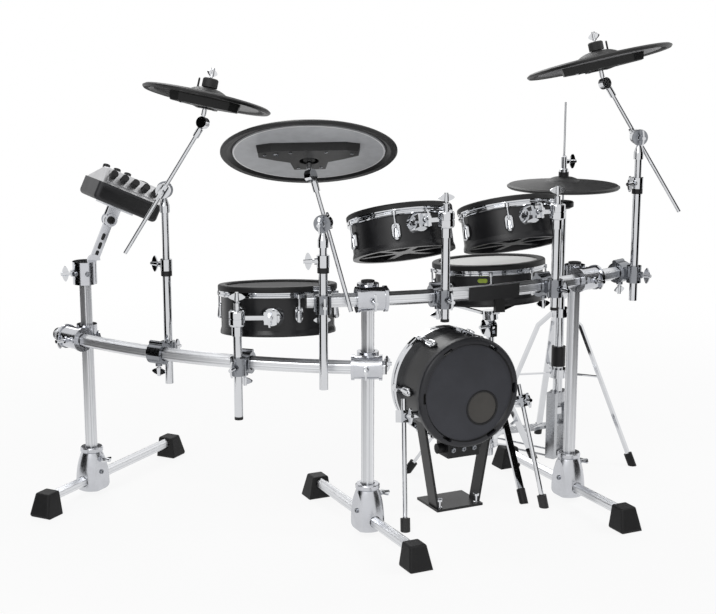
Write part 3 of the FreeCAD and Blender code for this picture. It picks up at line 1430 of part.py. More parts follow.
def make_hihat():
    here = moved(*HIHAT_AXIS)
    bore = rod("hihat_tube_across + 2 * fit", "hihat_collar_height")
    legs, tips = tripod("hihat", [bore])
    STAND_FEET.extend((tip, here) for tip in tips)
    rod_hole = "hihat_rod_across + hihat_rod_room"
    lower = tube("hihat_tube_across", "hihat_upper_across + 2 * fit", "hihat_collar_height - hihat_tube_low",
                 Vector(0, 0, value("hihat_tube_low")))
    upper = tube("hihat_upper_across", rod_hole, "hihat_upper_top - hihat_leg_top",
                 Vector(0, 0, value("hihat_leg_top")))
    level = value("hihat_collar_height - collar_height")
    collar = cut(
        fuse(rod("hihat_collar_across", "collar_height", Vector(0, 0, level)),
             rod("boss_across", "hihat_collar_across / 2 + boss_rise",
                 Vector(0, 0, level + value("collar_height / 2")), RIGHT * -1)),
        rod("hihat_tube_across + 2 * fit", "collar_height", Vector(0, 0, level)))
    bolts = []
    bolt_at(here, Vector(-value("hihat_collar_across / 2 + boss_rise"), 0, level + value("collar_height / 2")),
            RIGHT * -1, bolts)
    node("hihat_stand", [(piece, here) for piece in (lower, upper, collar, *legs)] + bolts)
    # Black pieces of the stand: the sleeve on the lower tube and the seat under the pad.
    sleeve = tube("hihat_sleeve_across", "hihat_tube_across + 2 * fit", "hihat_sleeve_high - hihat_sleeve_low",
                  Vector(0, 0, value("hihat_sleeve_low")))
    top = "hihat_upper_top"
    hole = "hihat_rod_across / 2 + joint_gap"
    seat = turned([
        (hole, top), ("hihat_seat_across / 2 - hihat_seat_waist", top),
        ("hihat_seat_across / 2", f"{top} + hihat_seat_foot"),
        ("hihat_seat_across / 2", f"{top} + hihat_seat_height - hihat_seat_soften"),
        ("hihat_seat_across / 2 - hihat_seat_soften", f"{top} + hihat_seat_height"),
        (hole, f"{top} + hihat_seat_height")])
    node("plastic_trim", [(sleeve, here), (seat, here)])
    # Pedal frame: two uprights, a head round the tube and a base plate.
    width = value("pedal_frame_width")
    post = value("pedal_frame_post")
    low = value("pedal_frame_low")
    high = value("pedal_frame_high")
    sides = [block("pedal_frame_depth", "pedal_frame_post", "pedal_frame_high - frame_head / 2",
                   moved(0, side * (width - post) / 2, 0), (0.5, 0.5, 0)) for side in (-1, 1)]
    frame = cut(
        fuse(block("pedal_frame_depth", "pedal_frame_width", "pedal_frame_low", shares=(0.5, 0.5, 0)),
             block("pedal_frame_depth", "pedal_frame_width", "frame_head", moved(0, 0, high), (0.5, 0.5, 1)),
             rod("hihat_tube_across + frame_collar", "frame_head", Vector(0, 0, high - value("frame_head"))), *sides),
        rod(f"{rod_hole} + frame_collar", "frame_head * 2", Vector(0, 0, high - value("frame_head * 2"))))
    node("hihat_frame", [(frame, PEDAL_FRAME)])
    # Heel plate, with two radius rods to the frame.
    back = value("pedal_hinge_back")
    hinge_z = value("pedal_hinge_height")
    wide = value("pedal_width")
    ear = value("pedal_width * heel_ear_share")
    heel = fuse(
        block("heel_length", "pedal_width", "heel_thick", moved(back - value("heel_lap"), 0, 0), (0, 0.5, 0)),
        *[rod("heel_thick", "pedal_width * heel_ear_share", Vector(back, side * (wide / 2 - ear), hinge_z),
              BACK * side) for side in (-1, 1)],
        *[block("heel_thick", "pedal_width * heel_ear_share", "pedal_hinge_height",
                moved(back, side * (wide - ear) / 2, 0), (0.5, 0.5, 0)) for side in (-1, 1)])
    reach = "pedal_hinge_back - pedal_frame_depth / 2 - heel_lap"
    wires = [rod("radius_rod_across", reach,
                 Vector(value("pedal_frame_depth / 2"), side * (width / 2 - post / 2), value("heel_thick / 2")), RIGHT)
             for side in (-1, 1)]
    node("hihat_frame", [(heel, PEDAL_FRAME)] + [(wire, PEDAL_FRAME) for wire in wires])
    # Footboard, about its hinge: it rises towards the frame.
    slope = facing(PEDAL_HINGE, PEDAL_WAY.cross(UP), compass(value("pedal_azimuth") + 180, value("pedal_rise")))
    board = fuse(
        rod("heel_thick", "pedal_width * board_share", Vector(0, 0, -value("pedal_width * board_share / 2"))),
        block("pedal_length", "pedal_thick", "pedal_width * board_share", shares=(0, 0.5, 0.5)),
        block("pedal_length * tread_share", "pedal_thick", "pedal_width",
              moved(value("pedal_length * (1 - tread_share) / 2"), 0, 0), (0, 0.5, 0.5)),
        block("pedal_length + pedal_tongue", "pedal_thick", "strap_width", shares=(0, 0.5, 0.5)))
    node("hihat_footboard", [(board, slope)])
    # Pull rod with its clutch, felts and the strap's clevis.
    foot = value("hihat_tube_low - clevis_drop")
    clutch_top = f"{PAD_RISE} + pad_bell_height + felt_height + hihat_clutch_height"
    pull = fuse(rod("hihat_rod_across", f"{clutch_top} - hihat_tube_low + clevis_drop", Vector(0, 0, foot)),
                rod("hihat_tip_across", f"hihat_rod_top - ({clutch_top})", Vector(0, 0, value(clutch_top))),
                block("strap_width", "strap_width", "strap_width", moved(0, 0, foot), (0.5, 0.5, 0.5)))
    lean = "pedal_rise * 1 deg"
    strap_low = (f"(pedal_hinge_height + pedal_hinge_back * tan({lean})"
                 f" + pedal_thick / 2 / cos({lean}) + strap_thick + joint_gap)")
    strap = block("strap_thick", "strap_width", f"hihat_tube_low - clevis_drop - strap_width / 2 - {strap_low}",
                  moved(0, 0, value(strap_low)), (0.5, 0.5, 0))
    bore = "hihat_rod_across / 2 + fit"
    crown = PAD_LEVEL + value("pad_bell_height")
    felt = turned([(bore, "0"), ("felt_across / 2", "0"), ("felt_across / 2", "felt_height"),
                   (bore, "felt_height")])
    clutch = turned([
        (bore, "0"), ("felt_across / 2 - clutch_lip", "0"), ("felt_across / 2 - clutch_lip", "clutch_flange"),
        ("hihat_clutch_across / 2", "clutch_taper"),
        ("hihat_clutch_across / 2", "hihat_clutch_height - clutch_shoulder"),
        ("hihat_clutch_across / 2 - clutch_soften", "hihat_clutch_height"), (bore, "hihat_clutch_height")])
    under = moved(0, 0, PAD_LEVEL - value("felt_height"))
    over = moved(0, 0, crown)
    spot = here.multiply(moved(0, 0, crown + value("felt_height")))
    bolts = []
    bolt_level = value("clutch_bolt_rise")
    lug = rod("bolt_hub_across", "hihat_clutch_across / 2 + boss_rise", Vector(0, 0, bolt_level), RIGHT)
    handle = cut(fuse(clutch, lug), rod("hihat_rod_across + 2 * fit", "hihat_clutch_height"))
    bolt_at(spot, Vector(value("hihat_clutch_across / 2 + boss_rise"), 0, bolt_level), RIGHT, bolts)
    node("hihat_rod", [(pull, here), (strap, PEDAL_FRAME), (handle, spot)] + bolts)
    node("hihat_pad", [(felt, here.multiply(under)), (felt, here.multiply(over))])
    rubber, plate = pad_solids("hihat_pad_across", "hihat_bell_across")
    level = here.multiply(moved(0, 0, PAD_LEVEL))
    node("hihat_pad", [(rubber, level), (plate, level)])


# The kick pad stands about midway between its posts.
KICK = standing("kick", RIGHT_POST / 2) + UP * value("kick_height")
KICK_FRAME = facing(KICK, BACK * -1, RIGHT)
SPURS = {}


def make_kick():
    # Local z runs to the front, local y is up; the cover's front plane is at zero.
    deep = value("kick_cover_depth")
    cover_edge = "kick_cover_across / 2"
    cover = turned([
        ("0", "-kick_cover_dish - kick_cover_wall"),
        (f"{cover_edge} - kick_ring_width - kick_ring_slope", "-kick_cover_dish - kick_cover_wall"),
        (f"{cover_edge} - kick_cover_lip", "-kick_cover_depth"), (cover_edge, "-kick_cover_depth"),
        (cover_edge, "-kick_cover_soften"), (f"{cover_edge} - kick_cover_soften", "0"),
        (f"{cover_edge} - kick_ring_width", "0"),
        (f"{cover_edge} - kick_ring_width - kick_ring_slope", "-kick_cover_dish"), ("0", "-kick_cover_dish")],
        {4: (f"{cover_edge} - kick_cover_soften * arc_share", "-kick_cover_soften * arc_share")})
    run = value("kick_slot_length - kick_slot_width") / 2
    far = value("kick_slot_reach")
    slot = fuse(
        block("kick_slot_width", "kick_slot_length - kick_slot_width", "kick_cover_depth * 2", moved(far, 0, 0)),
        *[rod("kick_slot_width", "kick_cover_depth * 2", Vector(far, way * run, -deep)) for way in (-1, 1)])
    window_spot = Vector(value("kick_window_x"), -value("kick_window_drop"), 0)
    hole = rod("kick_window_across", "kick_cover_depth * 2", window_spot - UP * (2 * deep) + UP * deep)
    face = cut(cover, hole, *around(slot, int(value("kick_slot_count"))))
    pane = rod("kick_window_across - 2 * fit", "kick_cover_wall - kick_pane_inset",
               window_spot - UP * value("kick_cover_dish + kick_cover_wall"))
    node("kick_cover", [(face, KICK_FRAME), (pane, KICK_FRAME)])
    shell = rod("kick_shell_across", "kick_shell_length", UP * (-deep), UP * -1)
    node("kick_shell", [(shell, KICK_FRAME)])
    rear = value("kick_cover_depth + kick_shell_length")
    hoop_edge = "kick_hoop_across / 2"
    inner = "kick_shell_across / 2 - kick_hoop_in"
    start = "-kick_cover_depth - kick_shell_length"
    hoop = turned([
        (inner, start), (hoop_edge, start), (hoop_edge, f"{start} - kick_hoop_depth * kick_hoop_low_share"),
        (f"{hoop_edge} - kick_hoop_groove", f"{start} - kick_hoop_depth / 2"),
        (hoop_edge, f"{start} - kick_hoop_depth * kick_hoop_high_share"), (hoop_edge, f"{start} - kick_hoop_depth"),
        (inner, f"{start} - kick_hoop_depth")])
    edge = value("kick_shell_across / 2")
    stand = value("kick_rod_length") - rear
    flip = Placement(Vector(edge, 0, stand + value("kick_lug_height")), Rotation(RIGHT, 180))
    lug = cut(
        placed(lug_body("kick_lug_height"), flip),
        rod("kick_shell_across + shell_fit", "kick_shell_length", UP * (-deep), UP * -1))
    bar = rod("rod_across", "kick_rod_length - lug_width * lug_taper_share / 2",
              Vector(edge + value("lug_depth * rod_out_share"), 0, -rear))
    lugs = int(value("kick_lug_count"))
    node("kick_hoop", [(hoop, KICK_FRAME)])
    node("kick_hardware", [(piece, KICK_FRAME) for piece in around(lug, lugs) + around(bar, lugs)])
    head = rod(f"2 * ({inner} - fit)", "kick_head_thick", UP * (-rear), UP * -1)
    node("kick_head", [(head, KICK_FRAME)])
    # Strap frame on the floor, in the kit's directions about the cover's foot.
    ground = moved(KICK.x, KICK.y, 0)
    plate = block("kick_plate_width", "kick_plate_depth", "kick_plate_thick",
                  moved(0, value("kick_plate_front"), 0), (0.5, 0, 0))
    middle = value("kick_cover_depth + kick_shell_length / 2")
    straps = []
    for side in (-1, 1):
        spot = moved(side * value("kick_strap_foot"), middle, 0)
        lean = turned_by(side * value("kick_strap_lean"), BACK)
        straps.append(block("kick_strap_thick", "kick_strap_width", "kick_strap_length",
                            spot.multiply(lean), (0.5, 0.5, 0)))
    barrel = rod("kick_shell_across + shell_fit", "kick_shell_length",
                 Vector(0, deep, value("kick_height")), BACK)
    floor = block("kick_plate_width * 4", "kick_plate_depth * 4", "kick_plate_thick * 4",
                  moved(0, 0, 0), (0.5, 0.5, 1))
    yoke = cut(fuse(plate, *straps), barrel, floor)
    node("kick_frame", [(yoke, ground)])
    drop = value("kick_height - kick_shell_across / 2")
    box_y = middle - value("kick_box_forward")
    box = cut(
        block("kick_box_width", "kick_box_depth", "kick_box_height + kick_box_tuck",
              moved(0, box_y, drop + value("kick_box_tuck")), (0.5, 0.5, 1)),
        barrel)
    knobs = [rod("kick_knob_across", "knob_height",
                 Vector(side * value("kick_box_width / 2"), box_y, drop - value("kick_box_height / 2")), RIGHT * side)
             for side in (-1, 1)]
    node("kick_jack_box", [(box, ground)] + [(knob, ground) for knob in knobs])
    # Spur clamps on the shell and the two sliding spurs.
    reach = value("spur_reach")
    back = value("spur_back")
    level = value("spur_clamp_height")
    arms = []
    for label, side in (("kick_spur_left", -1), ("kick_spur_right", 1)):
        grip = Vector(side * reach, back, level)
        foot_point = Vector(side * (reach + value("spur_splay")), back - value("spur_advance"), 0)
        way = (foot_point - grip).normalize()
        length = "sqrt(spur_splay ^ 2 + spur_advance ^ 2 + spur_clamp_height ^ 2)"
        hold = facing(grip, way, BACK)
        clamp = cut(
            fuse(rod("spur_arm_across", "spur_reach", grip, RIGHT * -side),
                 block("spur_clamp_size", "spur_clamp_size", "spur_clamp_size", hold),
                 rod("boss_across", "spur_clamp_size / 2 + boss_rise", grip, hold.Rotation.multVec(RIGHT * -1))),
            barrel,
            rod("spur_across + 2 * fit", "spur_clamp_size * 2", grip - way * value("spur_clamp_size"), way))
        arms.append((clamp, ground))
        boss = value("spur_clamp_size / 2 + boss_rise")
        bolt_at(ground.multiply(hold), RIGHT * -boss, RIGHT * -1, arms, UP)
        spur = rod("spur_across", f"{length} + spur_head - spur_foot_length", grip - way * value("spur_head"), way)
        tip = common(
            rod("spur_foot_across", "spur_foot_length + spur_foot_across",
                foot_point - way * value("spur_foot_length"), way),
            block("spur_foot_length * 4", "spur_foot_length * 4", "spur_foot_length * 4",
                  moved(foot_point.x, foot_point.y, 0), (0.5, 0.5, 0)))
        node(label, [(spur, ground), (tip, ground)])
        SPURS[label] = (ground.multVec(grip), way)
    node("kick_hardware", arms)


ARM_WAY = compass(0, 90 - value("arm_lean"))
TOP_CLAMP = LEFT_POST + UP * value("left_post_top + top_clamp_lip - top_clamp_height")
ARM_FOOT = LEFT_POST + UP * value("left_post_top + top_clamp_lip") + RIGHT * value("arm_foot_x")
EYE = ARM_FOOT + ARM_WAY * value("arm_rise")
MODULE_FRAME = Placement(EYE, Rotation(BACK, value("module_tilt")))
MODULE_CASE = MODULE_FRAME.multiply(
    moved(value("module_shift"), -value("module_depth / 2"), value("bracket_ear_height + bracket_plate_thick")))


def slope_frame(near, far):
    """The frame of a panel on the case that runs from near to far, its z out of the case."""
    run = (far - near).normalize()
    return facing((near + far) / 2, RIGHT.cross(run), RIGHT)


RIDGE_NEAR = Vector(0, value("ridge_near"), value("module_thick + ridge_height"))
RIDGE_FAR = Vector(0, value("ridge_far"), value("module_thick + ridge_height"))
JACK_SIDE = slope_frame(Vector(0, value("cover_inset"), value("module_thick")), RIDGE_NEAR)
PLAYER_SIDE = slope_frame(RIDGE_FAR, Vector(0, value("module_depth - cover_inset"), value("module_thick")))
DIAL_SPOT = Vector(value("dial_x"), 0, value("panel_thick"))


def make_module():
    here = moved(*TOP_CLAMP)
    middle = value("top_clamp_height / 2")
    side = value("top_clamp_across / 2 + boss_rise")
    clamp = cut(
        fuse(rod("top_clamp_across", "top_clamp_height"),
             rod("boss_across", "top_clamp_across / 2 + boss_rise", Vector(0, 0, middle), RIGHT * -1)),
        rod(CHROME_BORE, "top_clamp_height - top_clamp_lip"))
    bolt_at(here, Vector(-side, 0, middle), RIGHT * -1, RACK_BOLTS)
    eye = value("eye_thick")
    arm = cut(
        fuse(block("arm_width", "arm_thick", "arm_rise", facing(ARM_FOOT, ARM_WAY, RIGHT), (0.5, 0.5, 0)),
             rod("eye_across", "eye_thick", EYE - BACK * (eye / 2), BACK),
             rod("eye_across", "eye_thick", ARM_FOOT - BACK * (eye / 2), BACK)),
        rod("pin_across + 2 * joint_gap", "eye_thick * 2", EYE - BACK * eye, BACK),
        block("top_clamp_across * 2", "top_clamp_across * 2", "top_clamp_height",
              moved(LEFT_POST.x, LEFT_POST.y, value("left_post_top + top_clamp_lip")), (0.5, 0.5, 1)))
    node("module_arm", [(clamp, here), (arm, None)])
    # Bracket: two ears with a pin through the arm's eye, and a plate under the case.
    lift = value("bracket_ear_height")
    ear_gap = eye / 2 + value("fork_gap")
    ears = []
    for way in (-1, 1):
        ears.append(rod("eye_across", "bracket_plate_thick", BACK * (way * ear_gap), BACK * way))
        ears.append(block("eye_across", "bracket_plate_thick", "bracket_ear_height",
                          moved(0, way * ear_gap, 0), (0.5, 0 if way > 0 else 1, 0)))
    pin = rod("pin_across", "eye_thick + 2 * (fork_gap + bracket_plate_thick)",
              BACK * -(ear_gap + value("bracket_plate_thick")), BACK)
    plate = block("bracket_plate_length", "bracket_plate_width", "bracket_plate_thick",
                  moved(0, 0, lift), (0.5, 0.5, 0))
    node("module_bracket", [(fuse(plate, pin, *ears), MODULE_FRAME)])
    # Case: a black tray with round corners under a sloped, softened cover.
    tray = softened(
        block("module_length", "module_depth", "module_thick", shares=(0.5, 0, 0)), "module_corner",
        lambda low, high: low.z < value("module_thick"))
    node("module_housing", [(tray, MODULE_CASE)])
    ridge = doc.addObject("Part::Wedge", "ridge")
    half = "(module_length / 2 - cover_inset)"
    for prop, text in {
            "Xmin": f"-{half}", "Xmax": half, "X2min": f"-{half} + ridge_inset", "X2max": f"{half} - ridge_inset",
            "Ymin": "0", "Ymax": "ridge_height", "Zmin": "cover_inset - module_depth", "Zmax": "-cover_inset",
            "Z2min": "-ridge_far", "Z2max": "-ridge_near"}.items():
        ridge.setExpression(prop, bound(text))
    ridge.Placement = Placement(Vector(0, 0, value("module_thick")), Rotation(RIGHT, 90))
    cover = softened(ridge, "cover_soften", lambda low, high: high.z > value("module_thick"))
    node("module_panel", [(cover, MODULE_CASE)])
    jack_side = MODULE_CASE.multiply(JACK_SIDE)
    player_side = MODULE_CASE.multiply(PLAYER_SIDE)
    wide = "module_length - module_corner - 2 * panel_margin"
    jack_run = "sqrt((ridge_near - cover_inset) ^ 2 + ridge_height ^ 2) - panel_margin"
    play_run = "sqrt((module_depth - cover_inset - ridge_far) ^ 2 + ridge_height ^ 2) - panel_margin"
    node("module_panel", [
        (block(wide, jack_run, "panel_thick", shares=(0.5, 0.5, 0)), jack_side),
        (block(wide, play_run, "panel_thick", shares=(0.5, 0.5, 0)), player_side)])
    node("module_dial", [(rod("dial_across", "dial_height", DIAL_SPOT + UP * value("fit")), player_side)])
    knob = rod("knob_across", "knob_height")
    top = value("panel_thick")
    pitch = value("knob_pitch")
    node("module_knobs", [(knob, jack_side.multiply(moved(step * pitch, 0, top))) for step in (-2, -1, 0, 1, 2)])
    node("module_knobs", [(knob, player_side.multiply(moved(-step * pitch, -value("knob_pitch / 2"), top)))
                          for step in (0, 1, 2)])


PLASTIC = make_rack()
make_legs()
make_clamps()
PLASTIC += make_cymbals()
PLASTIC += make_toms()
make_snare()
make_hihat()
make_kick()
make_module()
node("plastic_trim", PLASTIC)
node("rubber_feet", STAND_FEET)
# The bare plate on the front bar: a short piece of a wider bow.
plate_middle = value("plate_start + plate_length / 2")
plate = common(
    tube("2 * (bar_bend + tube_across / 2 + plate_thick)", "2 * (bar_bend + tube_across / 2)", "plate_height",
         Vector(0, 0, -value("plate_height / 2"))),
    block("plate_length", "plate_length", "plate_height", moved(value("bar_bend"), 0, 0)))
node("plastic_trim", [(plate, bow_place(FRONT, plate_middle))])
node("wing_bolts", RACK_BOLTS)
group_nodes()

doc.recompute()
faults = [thing.Name for thing in doc.Objects if {"Invalid", "Error"} & set(thing.State)]
faults += [label for label, group in NODES.items() if group.Shape.isNull() or not group.Shape.isValid()]
if faults:
    raise RuntimeError(f"these pieces did not build: {faults}")
os.makedirs("parts", exist_ok=True)
for label, group in NODES.items():
    group.Shape.exportStep(f"parts/{label}.step")
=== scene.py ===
import json
import math
import bpy
from mathutils import Matrix, Vector


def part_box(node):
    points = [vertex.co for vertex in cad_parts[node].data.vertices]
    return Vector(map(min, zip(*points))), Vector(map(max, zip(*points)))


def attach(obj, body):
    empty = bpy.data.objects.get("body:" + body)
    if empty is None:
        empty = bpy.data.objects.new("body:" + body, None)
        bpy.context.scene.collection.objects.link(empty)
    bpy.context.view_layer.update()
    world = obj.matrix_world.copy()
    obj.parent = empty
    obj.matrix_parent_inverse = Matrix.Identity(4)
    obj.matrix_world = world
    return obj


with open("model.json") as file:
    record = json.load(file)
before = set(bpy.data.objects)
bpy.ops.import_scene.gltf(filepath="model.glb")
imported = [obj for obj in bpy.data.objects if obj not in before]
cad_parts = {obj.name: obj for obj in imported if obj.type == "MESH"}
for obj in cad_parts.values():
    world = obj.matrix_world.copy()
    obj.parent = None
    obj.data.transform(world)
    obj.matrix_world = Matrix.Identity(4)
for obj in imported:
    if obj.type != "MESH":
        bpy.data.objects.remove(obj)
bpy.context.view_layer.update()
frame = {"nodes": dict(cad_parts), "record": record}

nodes = frame["nodes"]
print("frame loaded:", len(nodes), "nodes")

noiseRough = 0.55


# a node's socket that works in sums
class Wire:
    def __init__(self, graph, socket):
        self.graph = graph
        self.socket = socket

    def sum(self, operation, first, second):
        return self.graph.node("ShaderNodeMath", {"operation": operation}, [first, second])

    def __add__(self, other):
        return self.sum("ADD", self, other)

    def __radd__(self, other):
        return self.sum("ADD", other, self)

    def __sub__(self, other):
        return self.sum("SUBTRACT", self, other)

    def __rsub__(self, other):
        return self.sum("SUBTRACT", other, self)

    def __mul__(self, other):
        return self.sum("MULTIPLY", self, other)

    def __rmul__(self, other):
        return self.sum("MULTIPLY", other, self)

    def __gt__(self, other):
        return self.sum("GREATER_THAN", self, other)

    def __lt__(self, other):
        return self.sum("LESS_THAN", self, other)

    def most(self, other):
        return self.sum("MAXIMUM", self, other)

    def sine(self):
        return self.sum("SINE", self, 0)

    def step(self, low, high):
        return self.graph.node("ShaderNodeMapRange", {"interpolation_type": "SMOOTHSTEP"},
                               {"Value": self, "From Min": low, "From Max": high})


class Graph:
    def __init__(self, tree):
        self.tree = tree
        self.tree.nodes.clear()
        self.place = None

    def feed(self, node, key, value):
        socket = node.inputs[key]
        if isinstance(value, Wire):
            self.tree.links.new(value.socket, socket)
        elif socket.type == "RGBA":
            socket.default_value = (*value, 1)
        else:
            socket.default_value = value

    def node(self, kind, settings=None, values=None, out=0):
        made = self.tree.nodes.new(kind)
        for key, value in (settings or {}).items():
            setattr(made, key, value)
        pairs = values.items() if isinstance(values, dict) else enumerate(values or [])
        for key, value in pairs:
            self.feed(made, key, value)
        return Wire(self, made.outputs[out])

    def spot(self):
        if self.place is None:
            self.place = self.node("ShaderNodeTexCoord", out="Object")
        return self.place

    def noise(self, scale, detail, stretch=None):
        where = self.spot()
        if stretch:
            where = self.node("ShaderNodeMapping", values={"Vector": where, "Scale": stretch})
        return self.node("ShaderNodeTexNoise", values={
            "Vector": where, "Scale": scale, "Detail": detail, "Roughness": noiseRough})

    def vector(self, operation, *values, out=0):
        return self.node("ShaderNodeVectorMath", {"operation": operation}, values, out)

    def along(self, origin, way):
        away = self.vector("SUBTRACT", self.spot(), origin)
        return self.vector("DOT_PRODUCT", away, way, out="Value")

    def radius(self, origin, way):
        away = self.vector("SUBTRACT", self.spot(), origin)
        return self.vector("LENGTH", self.vector("CROSS_PRODUCT", away, way), out="Value")

    def mix(self, mask, first, second):
        return self.node("ShaderNodeMix", {"data_type": "RGBA"}, {0: mask, 6: first, 7: second}, out=2)

    def blend(self, mask, first, second):
        return self.node("ShaderNodeMix", {"data_type": "FLOAT"}, {0: mask, 2: first, 3: second})

    def bump(self, height, depth, strength):
        return self.node("ShaderNodeBump", values={"Height": height, "Distance": depth, "Strength": strength})


class Finish(Graph):
    def __init__(self, name):
        self.material = bpy.data.materials.new(name)
        self.material.use_nodes = True
        super().__init__(self.material.node_tree)
        self.end = self.tree.nodes.new("ShaderNodeOutputMaterial")
        self.shader = self.tree.nodes.new("ShaderNodeBsdfPrincipled")
        self.tree.links.new(self.shader.outputs[0], self.end.inputs["Surface"])

    def set(self, **values):
        for key, value in values.items():
            self.feed(self.shader, key.replace("_", " "), value)


def worn(finish, colour, spread, scale):
    pale = tuple(min(1, part * (1 + spread)) for part in colour)
    deep = tuple(part * (1 - spread) for part in colour)
    return finish.mix(finish.noise(scale, 4).step(0.35, 0.65), deep, pale)


metalLook = {"cloud": 22, "smudge": 14, "swing": 0.5, "bump": 0.4}
plasticLook = {"cloud": 30, "patch": 18, "swing": 0.12, "bump": 0.5}


def metal(name, colour, rough, grain=900, depth=0.00002, spread=0.04):
    made = Finish(name)
    streak = made.noise(grain, 2)
    smudge = made.noise(metalLook["smudge"], 4)
    swing = rough * metalLook["swing"]
    made.set(Base_Color=worn(made, colour, spread, metalLook["cloud"]), Metallic=1.0,
             Roughness=rough + (streak - 0.5) * swing + (smudge - 0.5) * swing,
             Normal=made.bump(streak, depth, metalLook["bump"]))
    return made


def plastic(name, colour, rough, grain=1400, depth=0.00006, shine=0.3, spread=0.12):
    made = Finish(name)
    speck = made.noise(grain, 2)
    patch = made.noise(plasticLook["patch"], 3)
    made.set(Base_Color=worn(made, colour, spread, plasticLook["cloud"]),
             Roughness=rough + (patch - 0.5) * plasticLook["swing"],
             Specular_IOR_Level=shine, Normal=made.bump(speck, depth, plasticLook["bump"]))
    return made


def dress(names, finish):
    for name in names.split():
        slots = nodes[name].data.materials
        slots.clear()
        slots.append(finish.material)


tubeFinish = {"pale": (0.80, 0.81, 0.83), "deep": (0.50, 0.51, 0.53), "lines": 330, "band": (0.30, 0.60),
              "rough": 0.34, "lineSwing": 0.12, "smudge": 9, "smudgeSwing": 0.08,
              "depth": 0.0001, "bump": 0.5}


# drawn tube: fine lines along its length, so the noise is read only across it
def drawnTube(name, across):
    made = Finish(name)
    lines = made.noise(tubeFinish["lines"], 2, across)
    smudge = made.noise(tubeFinish["smudge"], 3)
    made.set(Base_Color=made.mix(lines.step(*tubeFinish["band"]), tubeFinish["deep"], tubeFinish["pale"]),
             Metallic=1.0,
             Roughness=(tubeFinish["rough"] + (lines - 0.5) * tubeFinish["lineSwing"]
                        + (smudge - 0.5) * tubeFinish["smudgeSwing"]),
             Normal=made.bump(lines, tubeFinish["depth"], tubeFinish["bump"]))
    return made


rubberBlack = (0.010, 0.010, 0.0105)
castGrey = (0.56, 0.57, 0.60)
chrome = metal("chrome", (0.64, 0.65, 0.67), 0.07, spread=0.02)
casting = metal("polishedCasting", castGrey, 0.15, grain=260)
legCasting = metal("legCasting", castGrey, 0.24, grain=260, depth=0.00001)
darkCasting = metal("darkCasting", (0.26, 0.27, 0.29), 0.20, grain=260, depth=0.00012)
pedalMetal = metal("pedalMetal", (0.46, 0.47, 0.49), 0.28, grain=300, depth=0.0001)
silverPanel = metal("silverPanel", (0.55, 0.55, 0.56), 0.34, grain=500, depth=0.00005)
blackMetal = plastic("blackMetal", (0.014, 0.014, 0.015), 0.36, 900)
rubber = plastic("blackRubber", rubberBlack, 0.55, 1100, 0.0001, shine=0.25)
satinPlastic = plastic("satinPlastic", (0.012, 0.012, 0.013), 0.40, 1600)
casePlastic = plastic("casePlastic", (0.030, 0.030, 0.033), 0.44, 1600)

dress("rack_posts", drawnTube("postAluminium", (1, 1, 0)))
dress("leg_tubes front_bar side_bar", drawnTube("barAluminium", (0, 0, 1)))
dress("leg_castings", legCasting)
dress("cross_clamps module_arm module_bracket", casting)
dress("accessory_clamps", darkCasting)
dress("rubber_feet snare_grips", rubber)
dress("plastic_trim kick_jack_box module_knobs module_dial", satinPlastic)
dress("module_housing", casePlastic)
dress("module_panel", silverPanel)
dress("wing_bolts cymbal_masts tom_posts hihat_stand hihat_rod snare_stand snare_riser snare_basket", chrome)
dress("kick_hoop kick_hardware", chrome)
dress("kick_frame", blackMetal)
dress("hihat_frame hihat_footboard", pedalMetal)
for cymbal in ("crash_left", "ride", "crash_right"):
    dress(f"{cymbal}_riser {cymbal}_boom", chrome)
for drum in ("tom_left", "tom_right", "floor_tom", "snare"):
    dress(f"{drum}_hardware", chrome)
print("metals and plastics done")

rodChrome = {"colour": (0.70, 0.71, 0.73), "rough": 0.07, "grain": 900, "depth": 0.00002, "bump": 0.4}
spurFinish = {"tip": 0.036, "rubber": (0.010, 0.010, 0.010), "rubberRough": 0.5}


# a chrome rod that is dark and dull where the mask is 1
def rodFinish(made, dark, darkColour, darkRough):
    made.set(Base_Color=made.mix(dark, rodChrome["colour"], darkColour), Metallic=1 - dark,
             Roughness=made.blend(dark, rodChrome["rough"], darkRough),
             Normal=made.bump(made.noise(rodChrome["grain"], 2), rodChrome["depth"], rodChrome["bump"]))
    return made


def spurChrome():
    made = Finish("spurChrome")
    tip = made.along((0, 0, 0), (0, 0, 1)) < spurFinish["tip"]
    return rodFinish(made, tip, spurFinish["rubber"], spurFinish["rubberRough"])


dress("kick_spur_left kick_spur_right", spurChrome())

shellFinish = {"colour": (0.011, 0.011, 0.0125), "spread": 0.15, "cloud": 12, "rough": 0.33, "patch": 9,
               "swing": 0.1, "grain": 700, "depth": 0.00004, "bump": 0.5, "shine": 0.38}


def shellPaint():
    made = Finish("shellPaint")
    patch = made.noise(shellFinish["patch"], 3)
    speck = made.noise(shellFinish["grain"], 2)
    made.set(Base_Color=worn(made, shellFinish["colour"], shellFinish["spread"], shellFinish["cloud"]),
             Roughness=shellFinish["rough"] + (patch - 0.5) * shellFinish["swing"],
             Normal=made.bump(speck, shellFinish["depth"], shellFinish["bump"]),
             Specular_IOR_Level=shellFinish["shine"])
    return made


dress("tom_left_shell tom_right_shell floor_tom_shell snare_shell kick_shell kick_head", shellPaint())


def boxMiddle(name):
    low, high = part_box(name)
    return (Vector(low) + Vector(high)) / 2


def leaning(tilt, azimuth):
    flat = math.sin(math.radians(tilt))
    turn = math.radians(azimuth)
    return Vector((flat * math.cos(turn), flat * math.sin(turn), math.cos(math.radians(tilt))))


